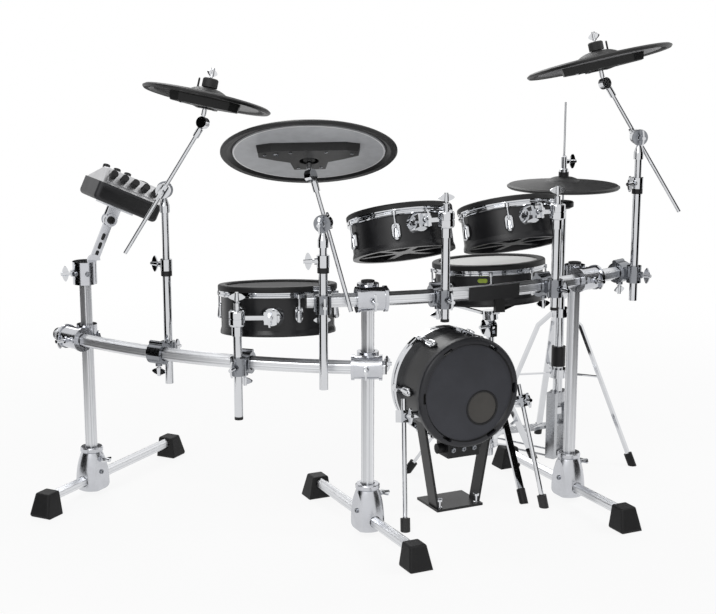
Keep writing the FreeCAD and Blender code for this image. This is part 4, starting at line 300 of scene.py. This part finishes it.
blackMesh = {"colour": (0.013, 0.013, 0.014), "spread": 0.06}
whiteMesh = {"colour": (0.78, 0.78, 0.77), "spread": 0.015}
drums = {
    "tom_left": {"tilt": 18.5, "azimuth": 87, "face": 0.1155, **blackMesh},
    "tom_right": {"tilt": 18.5, "azimuth": 87, "face": 0.1155, **blackMesh},
    "floor_tom": {"tilt": 6.8, "azimuth": 70, "face": 0.1350, **blackMesh},
    "snare": {"tilt": 4.5, "azimuth": 99, "face": 0.1390, **whiteMesh},
}
for name, drum in drums.items():
    drum["middle"] = boxMiddle(f"{name}_head")
    drum["way"] = leaning(drum["tilt"], drum["azimuth"])

headLook = {"border": 0.0005, "weave": 900, "cloud": 40, "rimRough": 0.5, "meshRough": 0.62, "shine": 0.3,
            "depth": 0.00008, "bump": 0.5}


def headFinish(name, drum):
    made = Finish(name + "Head")
    out = made.radius(drum["middle"], drum["way"])
    face = 1 - out.step(drum["face"] - headLook["border"], drum["face"])
    weave = made.node("ShaderNodeTexVoronoi", {"distance": "CHEBYCHEV"},
                      {"Vector": made.spot(), "Scale": headLook["weave"]})
    mesh = worn(made, drum["colour"], drum["spread"], headLook["cloud"])
    made.set(Base_Color=made.mix(face, rubberBlack, mesh),
             Roughness=made.blend(face, headLook["rimRough"], headLook["meshRough"]),
             Specular_IOR_Level=headLook["shine"],
             Normal=made.bump(weave, headLook["depth"], headLook["bump"]))
    return made


for name, drum in drums.items():
    dress(f"{name}_head", headFinish(name, drum))

jointSpots = {joint["name"]: joint for joint in frame["record"]["behaviour"]["joints"]}
stemRise = 0.054
pads = {
    "crash_left": {"across": 0.330, "under": (0.016, 0.016, 0.017), "line": (0.02, 0.02, 0.02)},
    "ride": {"across": 0.432, "under": (0.50, 0.51, 0.53), "line": (0.85, 0.85, 0.86)},
    "crash_right": {"across": 0.390, "under": (0.30, 0.30, 0.31), "line": (0.30, 0.30, 0.31)},
    "hihat": {"across": 0.330, "under": (0.016, 0.016, 0.017), "line": (0.02, 0.02, 0.02)},
}
for name, pad in pads.items():
    if name == "hihat":
        low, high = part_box("hihat_pad")
        pad["seat"] = Vector(((low[0] + high[0]) / 2, (low[1] + high[1]) / 2, low[2]))
        pad["way"] = Vector((0, 0, 1))
    else:
        stem = Vector(jointSpots[f"{name}_stem_tilt"]["pos_m"])
        pad["way"] = (Vector(jointSpots[f"{name}_pad_swing"]["pos_m"]) - stem).normalized()
        pad["seat"] = stem + pad["way"] * stemRise

# heights from the seat, and widths in from the pad's edge
padLook = {"rubber": (0.013, 0.013, 0.0135), "rubberRough": 0.42, "plateRough": 0.36,
           "patch": 20, "swing": 0.1,
           "grooves": 2600, "grain": 1200, "grainShare": 0.5, "depth": 0.00012, "bump": 0.35, "shine": 0.35,
           "plateTop": (0.0078, 0.0082), "plateFoot": (0.0036, 0.0040), "rim": (0.0295, 0.029),
           "line": (0.034, 0.031), "spread": 0.05, "cloud": 40}


def padFinish(name, pad):
    made = Finish(name + "Pad")
    edge = pad["across"] / 2
    out = made.radius(pad["seat"], pad["way"])
    high = made.along(pad["seat"], pad["way"])
    grooves = (out * padLook["grooves"]).sine()
    inside = 1 - out.step(edge - padLook["rim"][0], edge - padLook["rim"][1])
    plate = (1 - high.step(*padLook["plateTop"])) * inside * high.step(*padLook["plateFoot"])
    line = (out > edge - padLook["line"][0]) * (out < edge - padLook["line"][1]) * plate
    colour = made.mix(plate, padLook["rubber"], worn(made, pad["under"], padLook["spread"], padLook["cloud"]))
    patch = (made.noise(padLook["patch"], 3) - 0.5) * padLook["swing"]
    grain = made.noise(padLook["grain"], 2) * padLook["grainShare"]
    made.set(Base_Color=made.mix(line, colour, pad["line"]),
             Roughness=made.blend(plate, padLook["rubberRough"], padLook["plateRough"]) + patch,
             Specular_IOR_Level=padLook["shine"],
             Normal=made.bump(grooves * (1 - plate) + grain, padLook["depth"], padLook["bump"]))
    return made


stemFinish = {"felt": (-0.0146, 0.0004), "cap": (0.0336, 0.0596), "slim": 0.006,
              "dark": (0.012, 0.012, 0.012), "darkRough": 0.62}


def stemChrome(name, pad):
    made = Finish(name + "Stem")
    high = made.along(pad["seat"], pad["way"])
    out = made.radius(pad["seat"], pad["way"])
    felt, cap = ((high > low) * (high < top) for low, top in (stemFinish["felt"], stemFinish["cap"]))
    dark = (out > stemFinish["slim"]) * (felt + cap)
    return rodFinish(made, dark, stemFinish["dark"], stemFinish["darkRough"])


for name, pad in pads.items():
    dress(f"{name}_pad", padFinish(name, pad))
    if name != "hihat":
        dress(f"{name}_stem", stemChrome(name, pad))
print("pads and heads done")

kickLow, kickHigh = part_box("kick_cover")
kickMiddle = Vector(((kickLow[0] + kickHigh[0]) / 2, kickLow[1], (kickLow[2] + kickHigh[2]) / 2))
window = {"right": 0.041, "down": 0.046, "across": 0.088, "border": (0.0012, 0.0008),
          "smoke": (0.046, 0.042, 0.037), "spread": 0.15, "cloud": 9, "rough": 0.05}
windowMiddle = kickMiddle + Vector((window["right"], 0, -window["down"]))
cover = {"face": 0.130, "border": 0.0004, "seam": (0.0012, 0.0042), "seamColour": (0.004, 0.004, 0.005),
         "rim": (0.021, 0.0215, 0.026), "paint": (0.033, 0.0345, 0.043), "spread": 0.08, "cloud": 14,
         "rough": 0.40, "shine": 0.4, "grain": 1500, "depth": 0.00005, "bump": 0.4}


# a painted face, a darker rim with a seam round the face, and a smoky pane
def coverFinish():
    made = Finish("kickCover")
    out = made.radius(windowMiddle, (0, -1, 0))
    wide = made.radius(kickMiddle, (0, -1, 0))
    glassEdge = window["across"] / 2
    pane = 1 - out.step(glassEdge - window["border"][0], glassEdge - window["border"][1])
    ring = wide.step(cover["face"] - cover["border"], cover["face"] + cover["border"])
    seam = (wide < cover["face"] + cover["seam"][1]) * (wide > cover["face"] + cover["seam"][0])
    rim = made.mix(seam, cover["rim"], cover["seamColour"])
    paint = made.mix(ring, worn(made, cover["paint"], cover["spread"], cover["cloud"]), rim)
    smoke = worn(made, window["smoke"], window["spread"], window["cloud"])
    made.set(Base_Color=made.mix(pane, paint, smoke),
             Roughness=made.blend(pane, cover["rough"], window["rough"]), Specular_IOR_Level=cover["shine"],
             Normal=made.bump(made.noise(cover["grain"], 2) * (1 - pane), cover["depth"], cover["bump"]))
    return made


dress("kick_cover", coverFinish())

smoothAngle = 35


def clearAll():
    if bpy.context.mode != "OBJECT":
        bpy.ops.object.mode_set(mode="OBJECT")
    bpy.ops.object.select_all(action="DESELECT")


def pickPoints(test):
    bpy.ops.object.mode_set(mode="EDIT")
    bpy.ops.mesh.select_mode(type="VERT")
    bpy.ops.mesh.select_all(action="DESELECT")
    bpy.ops.object.mode_set(mode="OBJECT")
    for point in bpy.context.object.data.vertices:
        point.select = test(point.co)
    bpy.ops.object.mode_set(mode="EDIT")


def takeAll():
    bpy.ops.object.mode_set(mode="EDIT")
    bpy.ops.mesh.select_mode(type="FACE")
    bpy.ops.mesh.select_all(action="SELECT")


# 26 sides leave no point on the middle line, so that an oval stretches evenly
def startOval(width, length=None, sides=26):
    clearAll()
    bpy.ops.mesh.primitive_circle_add(vertices=sides, radius=width / 2, fill_type="NGON")
    if length:
        for way in (-1, 1):
            pickPoints(lambda spot: spot.y * way > 0)
            bpy.ops.transform.translate(value=(0, way * (length - width) / 2, 0))
    takeAll()


def startPlate(width, length):
    clearAll()
    bpy.ops.mesh.primitive_plane_add(size=1)
    takeAll()
    bpy.ops.transform.resize(value=(width, length, 1), center_override=(0, 0, 0))


# each step extrudes by a rise and then scales the new face
def grow(*steps):
    for rise, scale in steps:
        bpy.ops.mesh.extrude_region_move(TRANSFORM_OT_translate={"value": (0, 0, rise)})
        bpy.ops.transform.resize(value=(scale, scale, 1), center_override=(0, 0, 0))


# the same with rises as shares of the whole height
def growBoss(across, high, sides, steps):
    startOval(across, sides=sides)
    grow(*((high * share, scale) for share, scale in steps))


def outward(angle):
    turn = math.radians(angle)
    return Vector((math.cos(turn), math.sin(turn), 0))


def placed(origin, way, side):
    way = Vector(way).normalized()
    side = Vector(side)
    side = (side - way * side.dot(way)).normalized()
    turn = Matrix((side, way.cross(side), way)).transposed()
    return Matrix.Translation(origin) @ turn.to_4x4()


# one copy of the shaped mesh at each place, joined in one piece
def finishPiece(name, body, finish, places, soften=0):
    takeAll()
    bpy.ops.mesh.normals_make_consistent(inside=False)
    bpy.ops.object.mode_set(mode="OBJECT")
    first = bpy.context.object
    if soften:
        edge = first.modifiers.new("soften", "BEVEL")
        edge.width = soften
        edge.segments = 2
        bpy.ops.object.modifier_apply(modifier="soften")
    bpy.ops.object.shade_smooth_by_angle(angle=math.radians(smoothAngle))
    copies = [first]
    while len(copies) < len(places):
        copy = first.copy()
        copy.data = first.data.copy()
        bpy.context.scene.collection.objects.link(copy)
        copies.append(copy)
    clearAll()
    for copy, place in zip(copies, places):
        copy.data.transform(place)
        copy.select_set(True)
    bpy.context.view_layer.objects.active = first
    if len(copies) > 1:
        bpy.ops.object.join()
    first.name = name
    first.data.materials.append(finish.material)
    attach(first, body)


lugCase = {"width": 0.021, "length": 0.040, "fromTop": 0.054, "sunk": 0.001, "gasket": 0.004,
           "gasketSteps": ((0.0022, 1), (0.0006, 0.96)),
           "caseSteps": ((0.0078, 1), (0.0014, 0.93), (0, 0.80), (-0.0045, 0.96))}
tomShell = {"side": (-0.11563, -0.94148, 0.31661), "across": 0.257, "high": 0.098, "lugs": 6, "first": 34}
shells = {
    "tom_left": {"low": (0.00771, -0.282, 0.72415), **tomShell},
    "tom_right": {"low": (0.33373, -0.27955, 0.72415), **tomShell},
    "floor_tom": {"low": (-0.25763, -0.07753, 0.50814), "side": (-0.46795, -0.87594, 0.11724),
                  "across": 0.296, "high": 0.112, "lugs": 6, "first": 26},
    "snare": {"low": (0.40922, -0.03713, 0.52777), "side": (-0.98769, -0.15643, 0),
              "across": 0.304, "high": 0.100, "lugs": 8, "first": -37.5},
}


def shellSpot(shell, up, angle, fromTop):
    side = Vector(shell["side"])
    turn = math.radians(angle)
    out = side * math.cos(turn) + up.cross(side) * math.sin(turn)
    reach = shell["across"] / 2 - lugCase["sunk"]
    return Vector(shell["low"]) + out * reach + up * (shell["high"] - fromTop), out


def caseLugs(name, body, places):
    extra = lugCase["gasket"]
    startOval(lugCase["width"] + extra, lugCase["length"] + extra)
    grow(*lugCase["gasketSteps"])
    finishPiece(name + "_lug_gaskets", body, rubber, places)
    startOval(lugCase["width"], lugCase["length"])
    grow(*lugCase["caseSteps"])
    finishPiece(name + "_lug_cases", body, chrome, places)


for name, shell in shells.items():
    up = drums[name]["way"]
    places = []
    for i in range(shell["lugs"]):
        spot, out = shellSpot(shell, up, shell["first"] + i * 360 / shell["lugs"], lugCase["fromTop"])
        places.append(placed(spot, out, up.cross(out)))
    caseLugs(name, name, places)

kickTrim = {"middle": (0.20415, -0.199, 0.337), "shell": 0.140, "hoop": 0.153, "hoopBack": 0.046, "lugs": 6,
            "claw": (0.020, 0.030), "clawSunk": 0.0015,
            "clawSteps": ((0.0045, 1), (0.0012, 0.88), (0.001, 0.6))}


def kickSpots(radius, back):
    spots = []
    for i in range(kickTrim["lugs"]):
        turn = math.radians(i * 360 / kickTrim["lugs"])
        out = Vector((math.cos(turn), 0, math.sin(turn)))
        spots.append(placed(Vector(kickTrim["middle"]) + out * radius + Vector((0, back, 0)), out,
                            Vector((0, 1, 0)).cross(out)))
    return spots


caseLugs("kick", "rack", kickSpots(kickTrim["shell"] - lugCase["sunk"], 0))
startOval(*kickTrim["claw"])
grow(*kickTrim["clawSteps"])
finishPiece("kick_claws", "rack", chrome,
            kickSpots(kickTrim["hoop"] - kickTrim["clawSunk"], kickTrim["hoopBack"]))
print("lugs and claws done")

badge = {"angle": 44, "fromTop": 0.027, "size": (0.012, 0.027), "colour": (0.50, 0.66, 0.06), "rough": 0.25,
         "shine": 0.5, "steps": ((0.0024, 1), (0.0008, 0.94), (0, 0.84), (-0.0005, 0.98))}


def makeBadge():
    up = drums["snare"]["way"]
    spot, out = shellSpot(shells["snare"], up, badge["angle"], badge["fromTop"])
    startOval(*badge["size"])
    grow(*badge["steps"])
    enamel = plastic("badgeEnamel", badge["colour"], badge["rough"], shine=badge["shine"])
    finishPiece("snare_badge", "snare", enamel, [placed(spot, out, up)])


makeBadge()

# spots on a trigger housing are shares of its length
sensors = {
    "crash_left": {"side": (-0.7619, -0.59893, 0.24654), "length": 0.180, "turn": 116},
    "ride": {"side": (-0.50207, 0.82241, -0.26752), "length": 0.250, "turn": 216},
    "crash_right": {"side": (-0.05961, 0.97274, -0.22412), "length": 0.220, "turn": 241},
}
sensorTrim = {
    "under": 0.0158, "screw": (0.0085, 0.0012), "jack": (0.015, 0.003), "jackSpots": [(-0.31, 0.20)],
    "screwSpots": [(-0.42, 0.19), (0.42, 0.19), (-0.17, 0.24), (0.17, 0.24), (-0.11, -0.19), (0.11, -0.19)],
}
screwSides = 18
screwSteps = ((0.8, 1), (0.2, 0.86), (0, 0.58), (-0.6, 1))
socketSides = 6
socketSteps = ((0.5, 1), (0, 0.80), (0.5, 1), (0, 0.62), (-0.8, 1))


def sensorSpots(name, shares):
    sensor = sensors[name]
    pad = pads[name]
    turn = math.radians(sensor["turn"])
    side = Vector(sensor["side"])
    over = pad["way"].cross(side)
    spots = []
    for u, v in shares:
        x = (u * math.cos(turn) + v * math.sin(turn)) * sensor["length"]
        y = (u * math.sin(turn) - v * math.cos(turn)) * sensor["length"]
        spot = pad["seat"] + side * x + over * y - pad["way"] * sensorTrim["under"]
        spots.append(placed(spot, -pad["way"], side))
    return spots


def makeScrew(across, high):
    growBoss(across, high, screwSides, screwSteps)


def makeSocket(across, high):
    growBoss(across, high, socketSides, socketSteps)


for name in sensors:
    makeScrew(*sensorTrim["screw"])
    finishPiece(name + "_sensor_screws", name + "_pad", darkCasting,
                sensorSpots(name, sensorTrim["screwSpots"]))
    makeSocket(*sensorTrim["jack"])
    finishPiece(name + "_sensor_jacks", name + "_pad", chrome,
                sensorSpots(name, sensorTrim["jackSpots"]))
print("trigger housings done")

posts = {
    "middle": {"at": (-0.10485, -0.30102), "leg": 90},
    "right": {"at": (0.51515, -0.30102), "leg": 90},
    "left": {"at": (-0.66316, 0.32122), "leg": 37.6},
}
footScrews = {"flat": 0.0305, "level": 0.066, "screw": (0.013, 0.0045)}
topClamp = {"radius": 0.0328, "level": 0.632, "turns": (205, 268), "screw": (0.014, 0.006)}


def postSpot(name, angle, radius, level):
    out = outward(angle)
    return placed(Vector((*posts[name]["at"], level)) + out * radius, out, (0, 0, 1))


def makePostScrews():
    places = []
    for name, post in posts.items():
        for quarter in (-90, 90):
            places.append(postSpot(name, post["leg"] + quarter, footScrews["flat"], footScrews["level"]))
    makeScrew(*footScrews["screw"])
    finishPiece("leg_screws", "rack", darkCasting, places)
    makeScrew(*topClamp["screw"])
    finishPiece("top_clamp_screws", "rack", darkCasting, [
        postSpot("left", angle, topClamp["radius"], topClamp["level"]) for angle in topClamp["turns"]])


makePostScrews()

armSlots = {"eye": (-0.589116, 0.3163, 0.772964), "rise": (0.40035, 0, 0.91636),
            "drops": (0.050, 0.076, 0.100), "size": (0.009, 0.020),
            "steps": ((0.0008, 1), (0.0003, 0.92), (0, 0.72), (-0.0006, 1))}


def makeArmSlots():
    rise = Vector(armSlots["rise"])
    face = Vector((0, -1, 0))
    startOval(*armSlots["size"])
    grow(*armSlots["steps"])
    finishPiece("module_arm_slots", "rack", blackMetal, [
        placed(Vector(armSlots["eye"]) - rise * drop, face, rise.cross(face)) for drop in armSlots["drops"]])


makeArmSlots()

kickFoot = {"screws": [(0.147, -0.232), (0.261, -0.232)], "plateTop": 0.0068,
            "screwAcross": 0.015, "screwSides": 20,
            "screwSteps": ((0.003, 1), (0.0005, 0.9), (0, 0.5), (0.016, 1), (0, 2.4), (0.006, 1.06),
                           (0.001, 0.85)),
            "sockets": (0.172, 0.204, 0.236), "socket": (0.015, 0.004), "boxFront": -0.2587,
            "boxLevel": 0.175}


def makeKickTrim():
    startOval(kickFoot["screwAcross"], sides=kickFoot["screwSides"])
    grow(*kickFoot["screwSteps"])
    finishPiece("kick_plate_screws", "rack", chrome, [
        placed((x, y, kickFoot["plateTop"]), (0, 0, 1), (1, 0, 0)) for x, y in kickFoot["screws"]])
    makeSocket(*kickFoot["socket"])
    finishPiece("kick_sockets", "rack", darkCasting, [
        placed((x, kickFoot["boxFront"], kickFoot["boxLevel"]), (0, -1, 0), (1, 0, 0))
        for x in kickFoot["sockets"]])


makeKickTrim()

windowRing = {"radius": 0.0458, "thick": 0.0028, "flat": 0.6, "face": -0.2833, "around": 56, "section": 10}


def makeWindowRing():
    clearAll()
    bpy.ops.mesh.primitive_torus_add(
        major_segments=windowRing["around"], minor_segments=windowRing["section"],
        major_radius=windowRing["radius"], minor_radius=windowRing["thick"])
    takeAll()
    bpy.ops.transform.resize(value=(1, 1, windowRing["flat"]), center_override=(0, 0, 0))
    finishPiece("kick_window_ring", "rack", satinPlastic, [
        placed((windowMiddle.x, windowRing["face"], windowMiddle.z), (0, -1, 0), (1, 0, 0))])


makeWindowRing()
print("rack and kick trim done")

tilters = {"across": 0.0425, "thick": 0.0036, "back": 0.0045, "sides": 30,
           "steps": ((0.2, 1.03), (0.6, 1), (0.2, 0.97))}
stopPins = {"out": 0.029, "foot": 0.010, "across": 0.005, "high": 0.046, "sides": 14,
            "steps": ((0.92, 1), (0.05, 0.8), (0.03, 0.5)),
            "ways": {"crash_left": (-0.9, 0.43, 0), "ride": (-0.9, 0.43, 0), "crash_right": (0.9, -0.43, 0)}}


def makeTilterTrim(name):
    joint = jointSpots[name + "_boom_tilt"]
    axis = Vector(joint["axis"]).normalized()
    growBoss(tilters["across"], tilters["thick"], tilters["sides"], tilters["steps"])
    finishPiece(name + "_tilter_flange", name + "_riser", darkCasting,
                [placed(Vector(joint["pos_m"]) - axis * tilters["back"], -axis, (0, 0, 1))])
    pad = pads[name]
    side = Vector(stopPins["ways"][name])
    side = (side - pad["way"] * side.dot(pad["way"])).normalized()
    foot = pad["seat"] + side * stopPins["out"] + pad["way"] * stopPins["foot"]
    growBoss(stopPins["across"], stopPins["high"], stopPins["sides"], stopPins["steps"])
    finishPiece(name + "_stop_pin", name + "_pad", rubber, [placed(foot, pad["way"], side)])


for name in sensors:
    makeTilterTrim(name)

moduleEye = {"spot": (-0.589116, 0.321224, 0.772964), "face": 0.0122, "ring": 0.037, "bolt": (0.021, 0.0045),
             "ringSteps": ((0.0035, 1), (0.0012, 0.93), (0, 0.68), (-0.0035, 0.96))}
moduleCase = {"spot": (-0.56762, 0.24122, 0.80487), "along": (0.90631, 0, -0.42262),
              "up": (0.42262, 0, 0.90631),
              "frame": (0.166, 0.036), "rise": 0.0255, "corner": 0.009, "cornerSteps": 5, "border": 0.003,
              "proud": 0.0012, "sunkShare": 0.7, "soften": 0.0003}


def makeModuleTrim():
    spots = []
    for way in (-1, 1):
        face = Vector((0, way, 0))
        spots.append(placed(Vector(moduleEye["spot"]) + face * moduleEye["face"], face, (1, 0, 0)))
    startOval(moduleEye["ring"])
    grow(*moduleEye["ringSteps"])
    finishPiece("module_eye_rings", "module", casting, spots)
    makeScrew(*moduleEye["bolt"])
    finishPiece("module_eye_bolts", "module", blackMetal, spots)
    startPlate(*moduleCase["frame"])
    bpy.ops.mesh.bevel(affect="VERTICES", offset=moduleCase["corner"], segments=moduleCase["cornerSteps"])
    takeAll()
    grow((moduleCase["proud"], 1))
    bpy.ops.mesh.inset(thickness=moduleCase["border"])
    grow((-moduleCase["proud"] * moduleCase["sunkShare"], 1))
    spot = Vector(moduleCase["spot"]) + Vector(moduleCase["up"]) * moduleCase["rise"]
    finishPiece("module_side_frame", "module", satinPlastic,
                [placed(spot, (0, -1, 0), moduleCase["along"])], soften=moduleCase["soften"])


makeModuleTrim()

controls = {"at": (-0.53761, 0.34972, 0.86922), "facing": (0.38782, 0.39734, 0.83169),
            "along": (0.90631, 0, -0.42261), "lift": 0.0029, "soften": 0.0003,
            "screen": (0.044, 0.020), "screenAt": (-0.043, 0.014), "glass": (0.006, 0.008, 0.010),
            "glassRough": 0.10, "glassShine": 0.5,
            "screenSteps": ((0.0012, 1), (0.0004, 0.97), (0, 0.86), (-0.0008, 0.99)),
            "button": (0.005, 0.010), "buttonSteps": ((0.0016, 1), (0.0005, 0.86), (0, 0.7), (-0.0002, 0.98)),
            "buttons": [(0.000, 0.020), (0.014, 0.020), (0.000, 0.009), (0.014, 0.009)]}


def onPlayerSide(x, y):
    panel = placed(controls["at"], controls["facing"], controls["along"])
    return panel @ Matrix.Translation((x, y, controls["lift"]))


def makeControls():
    glass = plastic("screenGlass", controls["glass"], controls["glassRough"], shine=controls["glassShine"])
    startPlate(*controls["screen"])
    grow(*controls["screenSteps"])
    finishPiece("module_screen", "module", glass, [onPlayerSide(*controls["screenAt"])],
                soften=controls["soften"])
    startOval(*controls["button"])
    grow(*controls["buttonSteps"])
    finishPiece("module_buttons", "module", rubber, [
        onPlayerSide(x, y) for x, y in controls["buttons"]])


makeControls()

tread = {"hinge": (0.5927, 0.2725, 0.026), "along": (0.4214, -0.8640, 0.2756),
         "up": (-0.1208, 0.2477, 0.9613),
         "lift": 0.0043, "first": 0.046, "pitch": 0.018, "count": 9, "rib": (0.006, 0.064),
         "steps": ((0.0010, 1), (0.0006, 0.94), (0.0002, 0.7))}


def makeTread():
    along = Vector(tread["along"])
    up = Vector(tread["up"])
    places = []
    for i in range(tread["count"]):
        reach = tread["first"] + i * tread["pitch"]
        places.append(placed(Vector(tread["hinge"]) + along * reach + up * tread["lift"], up, along))
    startOval(*tread["rib"])
    grow(*tread["steps"])
    finishPiece("footboard_ribs", "hihat_footboard", darkCasting, places)


makeTread()
print("cymbal, module and pedal trim done")

studio = {
    "cameraAt": (-1.65785, -3.48802, 1.338), "pitch": 78.262, "yaw": -25.578, "lens": 72.195, "sensor": 36,
    "floor": 60, "floorDrop": 0.0004, "floorColour": (0.80, 0.80, 0.80), "floorRough": 0.9,
    "nearWhite": 0.89, "fade": (1.1, 3.2), "worldLight": 0.42,
    # soft lamps: place, aim, size, power
    "lamps": [
        ((-2.8, -2.4, 3.6), (0.1, 0.0, 0.6), 2.2, 78),
        ((3.0, -1.8, 2.6), (0.1, 0.0, 0.6), 1.6, 40),
        ((0.3, 3.2, 3.4), (0.0, 0.0, 0.7), 2.4, 55),
    ],
    # black cards at the sides, seen in reflections only: middle, width, height
    "cards": [
        ((-1.95, 0.30, 0.95), 1.7, 2.7), ((1.50, -1.30, 0.95), 1.7, 2.7),
        ((-0.14, 2.0, 0.95), 0.5, 2.7), ((1.66, 1.12, 0.95), 0.5, 2.7),
    ],
    "cardColour": (0.004, 0.004, 0.004),
}


def seenRay(graph):
    camera = graph.node("ShaderNodeLightPath", out="Is Camera Ray")
    rays = camera.socket.node.outputs
    return camera.most(Wire(graph, rays["Is Glossy Ray"]).most(Wire(graph, rays["Is Transmission Ray"])))


def paintWorld():
    world = bpy.data.worlds.new("studioWorld")
    bpy.context.scene.world = world
    world.use_nodes = True
    sky = Graph(world.node_tree)
    level = sky.blend(seenRay(sky), studio["worldLight"], 1.0)
    back = sky.node("ShaderNodeBackground", values={"Color": (1, 1, 1), "Strength": level})
    end = sky.tree.nodes.new("ShaderNodeOutputWorld")
    sky.tree.links.new(back.socket, end.inputs["Surface"])


def layFloor():
    clearAll()
    bpy.ops.mesh.primitive_plane_add(size=studio["floor"], location=(0, 0, -studio["floorDrop"]))
    floor = bpy.context.object
    floor.name = "floor"
    made = Finish("floorPaper")
    made.set(Base_Color=studio["floorColour"], Roughness=studio["floorRough"], Specular_IOR_Level=0.0)
    far = made.radius((0, 0, 0), (0, 0, 1)).step(*studio["fade"])
    white = studio["nearWhite"] + far * (1 - studio["nearWhite"])
    glow = made.node("ShaderNodeEmission", values={"Color": (1, 1, 1), "Strength": 1.0})
    both = made.node("ShaderNodeMixShader", values={
        0: white * seenRay(made), 1: Wire(made, made.shader.outputs[0]), 2: glow})
    made.tree.links.new(both.socket, made.end.inputs["Surface"])
    floor.data.materials.append(made.material)


def hangCards():
    black = Finish("blackCard")
    black.set(Base_Color=studio["cardColour"], Roughness=1.0, Specular_IOR_Level=0.0)
    for middle, width, height in studio["cards"]:
        clearAll()
        bpy.ops.mesh.primitive_plane_add(size=1, location=middle)
        card = bpy.context.object
        card.name = "card"
        card.scale = (width, height, 1)
        aim = Vector((0, 0, middle[2])) - Vector(middle)
        card.rotation_euler = aim.to_track_quat("Z", "Y").to_euler()
        card.data.materials.append(black.material)
        card.visible_camera = False
        card.visible_diffuse = False
        card.visible_shadow = False
        card.visible_transmission = False


def hangLamps():
    for place, aim, size, power in studio["lamps"]:
        lamp = bpy.data.lights.new("softbox", "AREA")
        lamp.size = size
        lamp.energy = power
        holder = bpy.data.objects.new("softbox", lamp)
        bpy.context.scene.collection.objects.link(holder)
        holder.location = place
        holder.rotation_euler = (Vector(aim) - Vector(place)).to_track_quat("-Z", "Y").to_euler()


def setCamera():
    eye = bpy.data.cameras.new("camera")
    eye.lens = studio["lens"]
    eye.sensor_width = studio["sensor"]
    holder = bpy.data.objects.new("camera", eye)
    bpy.context.scene.collection.objects.link(holder)
    holder.location = studio["cameraAt"]
    holder.rotation_euler = (math.radians(studio["pitch"]), 0, math.radians(studio["yaw"]))
    bpy.context.scene.camera = holder


paintWorld()
layFloor()
hangCards()
hangLamps()
setCamera()
bpy.context.scene.view_settings.view_transform = "Standard"
print("studio done")
